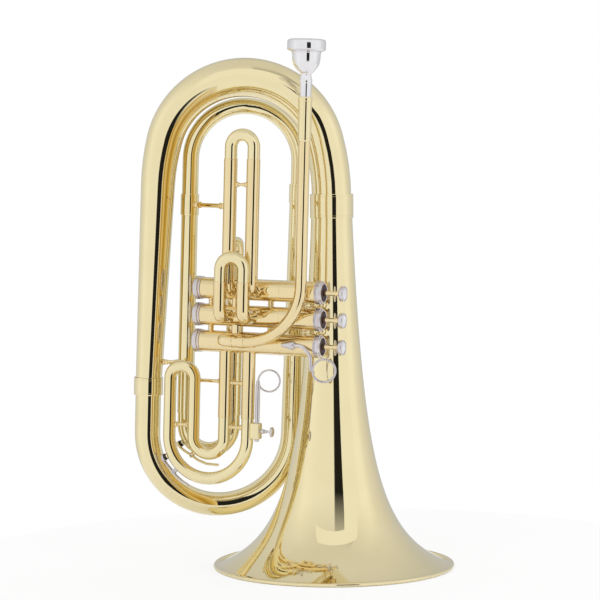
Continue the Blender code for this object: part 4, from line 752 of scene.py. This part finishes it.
# %% Posts and knuckles
post_half = [(-0.9, 3.5), (0.6, 3.5), (0.8, 3.3), (0.9, 2.7), (1.5, 2.5), (1.7, 2.9), (2.2, 3.1)]
post_outline = post_half + [(5.8 - d, r) for d, r in reversed(post_half)]
for n in (1, 2):
    low = casing_h[n + 1] + 10.9
    for i, s in enumerate((-53.5, 13, 50)):
        lathe(f"post_{n}_{i}", (s, 0, low), UP, post_outline, 32, warm)
    lathe(f"knuckle_{n}", (-24, 0, low), UP, [(-2.6, 6.3), (8.4, 6.3)], 48, warm)
print("posts: 6, knuckles: 2")

# %% [markdown]
# The caps are silver plated and turned. A bottom cap is a wide disc with a rounded edge and a
# collar, hollow inside, because the pressed piston comes down into it. A top cap has a milled grip.
# The grip is made from the cap's own faces: every second face of the band is selected and pushed in
# a little, as a milling wheel would.

# %% Caps
def mill(obj, low, high, depth, axis_h, axis_v=0.0, least=10):
    """Push in every second face of a band round an axis along X, whose height and depth are given."""
    bpy.ops.mesh.select_all(action="DESELECT")
    bpy.ops.object.mode_set(mode="OBJECT")
    faces = [f for f in obj.data.polygons if low < f.center.x / MM < high and abs(f.normal.x) < 0.2]
    faces = [f for f in faces if (f.center - Vector((f.center.x, axis_v, axis_h))).length > least * MM]
    faces.sort(key=lambda f: math.atan2(f.center.z - axis_h, f.center.y - axis_v))
    for i, face in enumerate(faces):
        face.select = i % 2 == 0
    bpy.ops.object.mode_set(mode="EDIT")
    bpy.ops.mesh.select_mode(type="FACE")
    bpy.ops.mesh.extrude_region_shrink_fatten(TRANSFORM_OT_shrink_fatten={"value": -depth * MM})
    bpy.ops.mesh.select_mode(type="VERT")
    return len(faces)


bottom_outline = [
    (-70.6, 0.9), (-71.6, 1.2), (-71.8, 1.7), (-71.8, 5.2), (-71.7, 9.2), (-71.4, 10.6), (-70.8, 11.6),
    (-70.2, 12.1), (-69.6, 12.3), (-66.2, 12.3), (-65.6, 12.1), (-65.3, 11.7), (-65.1, 11.5), (-64.7, 11.5),
    (-64.5, 11.8), (-64.1, 12.0), (-63.2, 12.0), (-62.8, 11.8), (-62.6, 11.5), (-62.6, 11.25), (-63.05, 11.2),
    (-63.05, 10.4), (-68.6, 10.2), (-69.2, 9.6), (-69.4, 0.9),
]
top_outline = [
    (69.3, 3.0), (69.3, 8.9), (71.2, 9.1), (71.5, 9.5), (71.5, 10.3), (71.3, 10.8), (70.9, 11.1),
    (69.9, 11.2), (69.6, 11.5), (69.5, 12.0), (69.2, 12.3), (66.4, 12.3), (66.1, 12.1), (66.0, 11.6),
    (65.3, 11.6), (65.2, 12.0), (64.9, 12.2), (64.5, 12.2), (64.2, 12.0), (64.1, 11.7), (64.1, 11.25),
]
felt_outline = [
    (69.5, 3.3), (69.5, 8.5), (70.5, 8.5), (70.9, 8.1), (71.0, 7.5), (71.0, 4.0), (70.8, 3.4), (69.5, 3.3),
]
for n in VALVES:
    axis = UP * casing_h[n]
    lathe(f"bottom_cap_{n}", axis, ALONG, bottom_outline, 96, satin)
    cap = turned(f"top_cap_{n}", axis, ALONG, top_outline, 120)
    grip = mill(cap.obj, 66.5, 69.1, 0.3, casing_h[n] * MM)
    dress(cap, satin)
    lathe(f"cap_felt_{n}", axis, ALONG, felt_outline, 48, felt)
print("grip faces per cap:", grip)

# %% [markdown]
# A finger button is a silver cup with a pale disc set in it, on a thin brass stem. The stem goes
# down into the casing with the piston, so both ride with their valve.

# %% Buttons
stem_outline = [(36.3, 2.45), (88.2, 2.45), (88.6, 3.0), (89.4, 3.3)]
cup_outline = [
    (89.3, 2.6), (89.3, 6.6), (89.5, 7.4), (90.0, 7.95), (90.8, 8.1), (92.9, 8.1), (93.7, 7.9), (94.2, 7.4),
    (94.3, 6.9), (94.25, 6.4), (93.9, 6.3), (93.6, 6.3),
]
pearl_outline = [(93.2, 6.2), (93.75, 6.2), (93.9, 6.0), (94.0, 4.5), (94.05, 2.0)]
for n in VALVES:
    axis, valve = UP * casing_h[n], f"valve_{n}"
    lathe(f"stem_{n}", axis, ALONG, stem_outline, 32, warm, valve)
    lathe(f"button_{n}", axis, ALONG, cup_outline, 64, satin, valve)
    lathe(f"pearl_{n}", axis, ALONG, pearl_outline, 48, pearl, valve)
print("buttons: 3")

# %% [markdown]
# The valve slides leave their casings forwards, turn up, and end in a mouth. Each sleeve starts a
# little inside the casing's skin, so that the joint is closed, with a solder collar round its foot.

# %% First and second slide
SLEEVE_R, SLEEVE_BORE, SLIDE_R, LEG_R = 6.95, 6.5, 6.45, 6.2
SEAM = 0.4  # between a sleeve's lip and the bow's shoulder
LEGS_1, FRONT_1, SEAM_1 = (-27.0, -1.8), 20.0, 162.7
LEGS_2, FRONT_2, SEAM_2 = (-29.8, -4.2), 34.6, 36.7


def elbow_sleeve(name, s, front, seam_h, h, bore_l):
    """A sleeve from a casing forwards and up to its mouth."""
    sleeve = Pipe(name, (s, -9.6, h), FRONT, SLEEVE_R)
    sleeve.follow([(s, -front, h), (s, -front, seam_h - MOUTH_L)], 9.0)
    sleeve.mouth(SLEEVE_BORE, bore_l)
    dress(sleeve, warm)


def slide_bow(name, legs, front, seam_h, top_h, leg_l, body):
    """A slide's bow with its two legs."""
    radius = (legs[1] - legs[0]) / 2
    rise = top_h - SLIDE_R - radius - seam_h - SEAM
    bow = Pipe(name, (legs[0], -front, seam_h - leg_l), UP, LEG_R)
    bow.run(leg_l + SEAM).run(0, SLIDE_R).run(rise)
    bow.bend(ALONG, radius).bend(DOWN, radius)
    bow.run(rise).run(0, LEG_R).run(leg_l + SEAM)
    dress(bow, brass, body)


def slide_tie(name, start, end, gap, body="horn"):
    """The thin stay between two tubes of a valve slide."""
    stay(name, start, end, gap, gap, 3.0, 2.3, body, CLUSTER)


for i, s in enumerate(LEGS_1):
    elbow_sleeve(f"slide1_sleeve_{i + 1}", s, FRONT_1, SEAM_1, casing_h[1], 108)
for i, s in enumerate(LEGS_2):
    elbow_sleeve(f"slide2_sleeve_{i + 1}", s, FRONT_2, SEAM_2, casing_h[2], 22)
slide_tie("slide1_tie", *((s, -FRONT_1, 136.2) for s in LEGS_1), SLEEVE_R)
slide_bow("slide1_crook", LEGS_1, FRONT_1, SEAM_1, 193.7, 105, "slide_1")
slide_bow("slide2_crook", LEGS_2, FRONT_2, SEAM_2, 68.2, 20, "slide_2")
print("first and second slide: 4 sleeves, 2 bows")

# %% [markdown]
# The third slide has to be long, so its tube is folded: down one leg, round a small bow, up, over,
# down again and round a wide bow to the other leg. Pulled as one tube it stays round everywhere.

# %% Third slide
LEGS_3, SEAM_3, MOUTH_3 = (-35.9, -10.0), -107.2, -106.8
SMALL_BOW_H, SMALL_TOP_H, WIDE_LOW_H, TIE_H = -145.9, -55.0, -171.5, -116.5
leg_a, leg_b = (Vector((s, 0, 0)) for s in LEGS_3)
small_left, small_right = Vector((-94.7, -8.6, 0)), Vector((-69.6, -3.3, 0))
for i, s in enumerate(LEGS_3):
    top = casing_h[3] - 9.2
    sleeve = Pipe(f"slide3_sleeve_{i + 1}", (s, 0, top), DOWN, SLEEVE_R)
    sleeve.run(top - MOUTH_3 - MOUTH_L).mouth(SLEEVE_BORE, 59)
    dress(sleeve, warm)
slide_tie("slide3_tie", leg_a + UP * -70.2, leg_b + UP * -70.2, SLEEVE_R)


def arc(pipe, end_axis, vertical):
    """Half a turn over to another upright leg."""
    across = Vector((end_axis.x - pipe.point.x, end_axis.y - pipe.point.y, 0))
    pipe.bend(across, across.length / 2).bend(vertical, across.length / 2)


inner_r, top_r, outer_r = (
    (b - a).length / 2 for a, b in ((leg_a, small_right), (small_right, small_left), (leg_b, small_left))
)
crook = Pipe("slide3_crook", leg_a + UP * -48.8, DOWN, LEG_R)
crook.run(58.4).run(0, SLIDE_R).run(SEAM_3 - (SMALL_BOW_H + inner_r))
arc(crook, small_right, UP)
crook.run(SMALL_TOP_H - top_r - crook.point.z)
arc(crook, small_left, DOWN)
crook.run(crook.point.z - (WIDE_LOW_H + outer_r))
arc(crook, leg_b, UP)
crook.run(SEAM_3 - crook.point.z).run(0, LEG_R).run(58.4)
dress(crook, brass, "slide_3")
slide_tie("slide3_moving_tie", leg_a + UP * TIE_H, leg_b + UP * TIE_H, SLIDE_R, "slide_3")
slide_tie("slide3_small_tie", small_left + UP * TIE_H, small_right + UP * TIE_H, SLIDE_R, "slide_3")
print("third slide bows:", [round(r, 1) for r in (inner_r, top_r, outer_r)])

# %% [markdown]
# The rod block is a small brass bar beside the moving leg. A cube is scaled to its size, its upper
# and lower ends are inset and raised into a shallow step, and a bevel takes off every sharp edge.

# %% Rod block
low, high = Vector((-4.6, -6.0, -126.8)), Vector((5.3, 2.4, -110.6))
bpy.ops.object.select_all(action="DESELECT")
bpy.ops.mesh.primitive_cube_add(size=1, location=(low + high) / 2 * MM)
rod_block = bpy.context.object
rod_block.name = rod_block.data.name = "rod_block"
rod_block.scale = (high - low) * MM
bpy.ops.object.transform_apply()
for face in rod_block.data.polygons:
    face.select = abs(face.normal.z) > 0.9
bpy.ops.object.mode_set(mode="EDIT")
bpy.ops.mesh.select_mode(type="FACE")
bpy.ops.mesh.inset(thickness=0.9 * MM, depth=0.4 * MM, use_individual=True)
bpy.ops.mesh.select_mode(type="VERT")
bpy.ops.object.mode_set(mode="OBJECT")
rounding = rod_block.modifiers.new("rounding", "BEVEL")
rounding.width = 0.5 * MM
rounding.segments = 3
bpy.ops.object.modifier_apply(modifier="rounding")
dress(rod_block, brass, "slide_3")
print("block done")

# %% [markdown]
# The finger ring is bent from round wire: a circle spun once all the way round. Its rod slides in
# the block, and a thumb screw with a milled head clamps it.

# %% Finger ring, rod and thumb screw
FACING = Vector((math.cos(TURN), math.sin(TURN), 0))


def wire_ring(name, centre, outside_d, wire, body):
    """A closed ring of round wire that stands upright and faces the camera."""
    ring = Pipe(name, centre + UP * ((outside_d - wire) / 2), FACING, wire / 2, 24)
    bpy.ops.mesh.spin(steps=72, angle=math.tau, center=centre * MM, axis=FACING.cross(UP))
    dress(ring, satin, body)


ROD_S, ROD_Y, SCREW_S, SCREW_H = 2.0, -3.0, 4.9, -118.6
rod_axis = Vector((ROD_S, ROD_Y, 0))
rod_outline = [
    (-129.5, 1.9), (-129.1, 2.2), (-128.6, 2.4), (-70.5, 2.4), (-69.8, 2.2), (-67, 1.8), (-65.6, 1.2),
]
lathe("ring_rod", rod_axis, UP, rod_outline, 40, satin, "finger_ring")
wire_ring("finger_ring", rod_axis + FACING * 11.45 + UP * -66.1, 24.2, 1.9, "finger_ring")
screw_outline = [
    (0, 1.3), (1.8, 1.3), (1.9, 2.0), (2.3, 2.3), (5.2, 2.3), (5.6, 2.0), (5.7, 1.2), (6.6, 1.2), (6.8, 1.7),
    (8.2, 1.7), (8.4, 1.2), (11.6, 1.4), (12.4, 2.4), (12.7, 4.5), (13.0, 4.9), (14.4, 4.9), (14.8, 4.5),
    (15.1, 3.0), (15.4, 1.0),
]
screw = turned("rod_screw", (SCREW_S, ROD_Y, SCREW_H), ALONG, screw_outline, 64)
mill(screw.obj, SCREW_S + 13.0, SCREW_S + 14.4, 0.25, SCREW_H * MM, ROD_Y * MM, 3)
dress(screw, satin, "ring_screw")
print("ring plane faces the camera")

# %% [markdown]
# The little finger's hook is a silver rod out of a swelling socket on the third casing, curved down
# to a ring. The rod is one pipe that follows its corners and gets thinner towards the ring.

# %% Finger hook
HOOK_Y, HOOK_H, HOOK_S = -14.7, -26.6, 41
socket_outline = [
    (31.0, 1.0), (31.4, 1.8), (33.5, 2.6), (36.5, 3.2), (39.0, 4.0), (41.5, 4.7), (43.5, 4.9), (45.0, 4.6),
    (46.0, 3.9), (46.4, 2.8), (46.4, 2.3), (40.0, 2.3),
]
lathe("hook_socket", (0, HOOK_Y, HOOK_H), ALONG, socket_outline, 64, satin)
hook = Pipe("pinky_hook", (HOOK_S, HOOK_Y, HOOK_H), ALONG, 2.25, 32)
hook.run(50.5 - HOOK_S)
hook.bend(Vector((8.2, 0, -9.0)), 8.0, 1.9)
hook.follow([(65.2, HOOK_Y, -35.4), (66.2, HOOK_Y, -52.0)], 9.0)
dress(hook, satin)
wire_ring("hook_ring", Vector((66.4, HOOK_Y, -51.2)) + FACING * 11.5, 25.6, 2.4, "horn")
print("hook ends at", [round(v, 1) for v in hook.point])

# %% [markdown]
# The leadpipe is the first tube that the air meets. It runs down in front of the casings, round a
# wide bend and back into the third valve, and it widens a little on the way. Two hair lines show
# where its parts are joined. At its top sits the receiver, a thicker sleeve for the mouthpiece.

# %% Leadpipe and receiver
LEAD_S, LEAD_Y, LEAD_TOP, LEAD_LOW, LEAD_BOW, LEAD_R = 52.4, -18, 181.5, -25.2, 60, 6.1
leadpipe = Pipe("leadpipe", (LEAD_S, LEAD_Y, LEAD_TOP), DOWN, LEAD_R)
leadpipe.run(LEAD_TOP - LEAD_LOW - LEAD_BOW, LEAD_R)
leadpipe.bend(-ALONG, LEAD_BOW, 6.5)
leadpipe.run(leadpipe.point.x + 7.6).band(0.5, 6.2)
leadpipe.run(leadpipe.point.x + 20.6).band(0.5, 1.2)
leadpipe.follow([(-34.6, LEAD_Y, LEAD_LOW), (-34.6, -9.0, LEAD_LOW)], 7.5)
dress(leadpipe, warm)
receiver_outline = [
    (181.8, 6.3), (181.8, 6.7), (182.1, 6.9), (184.6, 6.9), (184.7, 6.75), (185.0, 6.75), (185.1, 6.9),
    (222.2, 6.9), (222.3, 7.25), (222.6, 7.4), (226.2, 7.4), (226.6, 7.2), (226.8, 6.9), (226.8, 6.2),
    (205, 6.2),
]
lathe("receiver", (LEAD_S, LEAD_Y, 0), UP, receiver_outline, 64, brass)
print("leadpipe leaves at", [round(v, 1) for v in leadpipe.point])

# %% [markdown]
# The mouthpiece is turned from one bar and silver plated. Its outline is a smooth line: a thin
# shank, a small bead, a slim neck, the cup's swelling body, and a broad flat rim with a soft edge.
# The inside goes down the cup into the throat, so that it is a real mouthpiece from above.

# %% Mouthpiece
RIM_TOP = 285.0
shank = [(-80.2, 5.2), (-80.0, 5.4), (-58.2, 5.9), (-57.7, 5.9)]
neck = [(-57.7, 5.9), (-50.0, 6.0), (-45.6, 6.15), (-43.6, 6.55), (-41.8, 6.75), (-40.0, 6.2), (-36.9, 5.6)]
body = [
    (-36.9, 5.5), (-35.2, 5.6), (-33.4, 7.3), (-31.3, 9.2), (-29.3, 10.7), (-27.3, 12.1), (-25.2, 13.2),
    (-21, 14.2), (-17, 14.5), (-14.2, 14.7),
]
rim = [
    (-14.0, 15.0), (-13.4, 15.2), (-12.8, 15.0), (-12.5, 14.8), (-12.2, 15.6), (-11.6, 17.6), (-11.0, 19.0),
    (-10.4, 19.6), (-9.6, 19.75), (-2.6, 19.7), (-1.8, 19.55), (-1.0, 19.1), (-0.4, 18.3), (0, 17.1),
    (0, 15.9), (-0.4, 14.9), (-1.2, 14.0), (-2.4, 13.2),
]
cup = [
    (-2.4, 13.2), (-6.0, 12.4), (-12.0, 11.2), (-17.0, 9.3), (-21.0, 6.9), (-24.0, 4.4), (-26.5, 3.3),
    (-34.0, 3.3),
]
outline = shank + eased(neck, 3)[1:] + eased(body, 3)[1:] + rim + eased(cup, 3)[1:]
lathe("mouthpiece", (LEAD_S, LEAD_Y, RIM_TOP), UP, outline, 96, silver, "mouthpiece")
print("mouthpiece rings:", len(outline))

# %% [markdown]
# A water key lets the water out at the lowest point of a bow: a lever on a pivot holds a cork over
# a small hole in a nipple. It is easiest to model about the bow's own centre and to turn into place
# afterwards. The flat lever is a tube whose first ring is made oval, and which then follows the bow.

# %% Water keys
NIPPLE = [(-1.2, 3.1), (-0.1, 3.0), (0.15, 2.6), (1.0, 2.5), (1.2, 2.2)]
CORK = [(1.3, 3.1), (1.5, 3.4), (4.8, 3.4), (5.1, 3.1)]
CUP = [(3.6, 3.5), (3.6, 4.0), (3.9, 4.2), (5.6, 4.1), (6.2, 3.6), (6.8, 2.6), (7.1, 1.3)]
BARREL = [(-1.75, 1.0), (-1.75, 1.6), (-1.6, 1.75), (1.6, 1.75), (1.75, 1.6), (1.75, 1.0)]
PIN = [(-3.6, 0.5), (-3.5, 0.9), (-3.3, 1.0), (3.3, 1.0), (3.5, 0.9), (3.6, 0.5)]
CHEEK = [(0, 1.9), (0.15, 2.1), (1.0, 2.1), (1.15, 1.9)]
HINGES = {1: (242, 3.6), 2: (226, 3.6)}


def water_key(n, centre, across, skin_r, lever, bow_body, finish, place):
    """A water key in the XZ plane about a bow's centre.

    The lever's points are (degrees from the bow's right side, rise over its skin), from the cork on.
    """
    body, cork_at, (pivot_at, pivot_rise) = f"key_{n}", lever[0][0], HINGES[n]
    across = Vector(across).normalized()
    turn = Matrix((across, UP.cross(across), UP)).transposed().to_4x4()
    seat = place @ Matrix.Translation(Vector(centre) * MM) @ turn

    def spot(radius, degrees):
        return Vector((math.cos(math.radians(degrees)), 0, math.sin(math.radians(degrees)))) * radius

    out, foot_out = spot(1, cork_at), spot(1, pivot_at)
    skin = out * skin_r
    lathe(f"key_{n}_nipple", skin, out, NIPPLE, 32, brass, bow_body, seat)
    lathe(f"key_cork_{n}", skin, out, CORK, 32, cork, body, seat)
    lathe(f"key_{n}_cup", skin, out, CUP, 40, finish, body, seat)
    points = [spot(skin_r + rise, degrees) for degrees, rise in lever]
    strip = Pipe(f"water_key_{n}", points[0], points[1] - points[0], 1.4, 20)
    strip.stretch(1, 1.7, 1)
    strip.follow(points[1:], 9.0)
    strip.run(0.4, 0.7)
    dress(strip, finish, body, seat)
    pivot = spot(skin_r + pivot_rise, pivot_at)
    lathe(f"key_{n}_barrel", pivot, BACK, BARREL, 32, finish, body, seat)
    lathe(f"key_{n}_pin", pivot, BACK, PIN, 24, steel, body, seat)
    for side, end in ((-1, "front"), (1, "back")):
        outwards = BACK * side
        lathe(f"key_{n}_cheek_{end}", pivot + outwards * 2.0, outwards, CHEEK, 32, finish, bow_body, seat)
        foot_at = foot_out * (skin_r - 1.0) + outwards * 2.58
        foot = Pipe(f"key_{n}_foot_{end}", foot_at, foot_out, 0.57, 20)
        foot.size(1.9).stretch(1, 0.3, 1)
        foot.run(pivot_rise + 1.0)
        dress(foot, finish, bow_body, seat)


tuning_centre = (tuning_left + tuning_right) / 2 + UP * 144.8
lever_1 = [(215, 6.6), (228, 4.6), (242, 3.6), (254, 5.2), (268, 7.2), (286, 9.4)]
skin_1 = tuning_r + TUNING_R
water_key(1, tuning_centre, tuning_across, skin_1, lever_1, "tuning_slide", brass, WRAP)
slide3_centre = (small_left + leg_b) / 2 + UP * (WIDE_LOW_H + outer_r)
slide3_across, skin_2 = leg_b - small_left, outer_r + SLIDE_R
lever_2 = [(206, 6.8), (214, 5.0), (224, 4.2), (232, 5.0), (240, 5.6), (248, 6.0)]
water_key(2, slide3_centre, slide3_across, skin_2, lever_2, "slide_3", satin, CLUSTER)
print("water keys: 2")

# %% [markdown]
# Two turned braces reach from the posts between the casings back to the bell. Each ends in a fat
# collar and a ball that is soldered to the bell, and has three fine rings near the valves.

# %% Bell braces
BELL_FOOT_X = -17
for name, level in (("bell_brace_upper", PITCH / 2), ("bell_brace_lower", -PITCH / 2)):
    start = in_wrap(50, 0, level)
    height = (WRAP @ (Vector((BELL_FOOT_X, 0, start.z)) * MM)).z / MM
    bell_axis_x = -start.z * math.tan(LEAN)
    reach = math.sqrt(bell_radius(height) ** 2 - (BELL_FOOT_X - bell_axis_x) ** 2)
    foot = Vector((BELL_FOOT_X, -reach, start.z))
    way = (foot - start).normalized()
    length = (foot - start).length - 1.8
    outline = [(-0.4, 1.4), (0, 1.8), (5.6, 1.8), (5.8, 1.2)]
    bead = [(0, 1.2), (0.1, 2.3), (0.4, 2.5), (0.7, 2.5), (1.0, 2.3), (1.1, 1.2)]
    for low in (6.4, 8.6, 10.8):
        outline += [(low + d, r) for d, r in bead]
    tail = [(9.6, 1.2), (9.5, 2.3), (9.2, 2.6), (6.4, 2.6), (6.1, 2.3), (6.0, 1.6), (5.6, 1.6)]
    outline += [(length - d, r) for d, r in tail]
    outline += [*ball(length - 2.6, 3.4, -62, 40, 8), (length + 1.2, 2.6)]
    lathe(name, start + way * 1.8, way, outline, 32, brass, "horn", WRAP)
print("braces: 2")

# %% [markdown]
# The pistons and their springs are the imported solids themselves: they are hidden inside the
# casings, and only need their metals.

# %% Finish of the hidden solids, and the sizes
for n in VALVES:
    for node, finish in ((f"piston_{n}", nickel), (f"valve_spring_{n}", steel)):
        hidden = bpy.data.objects[node]
        hidden.data.materials.clear()
        hidden.data.materials.append(finish)
bpy.context.scene.view_settings.view_transform = "Standard"
low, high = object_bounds()
print("visual box in mm:", [round(1000 * v, 1) for v in (*low, *high)])
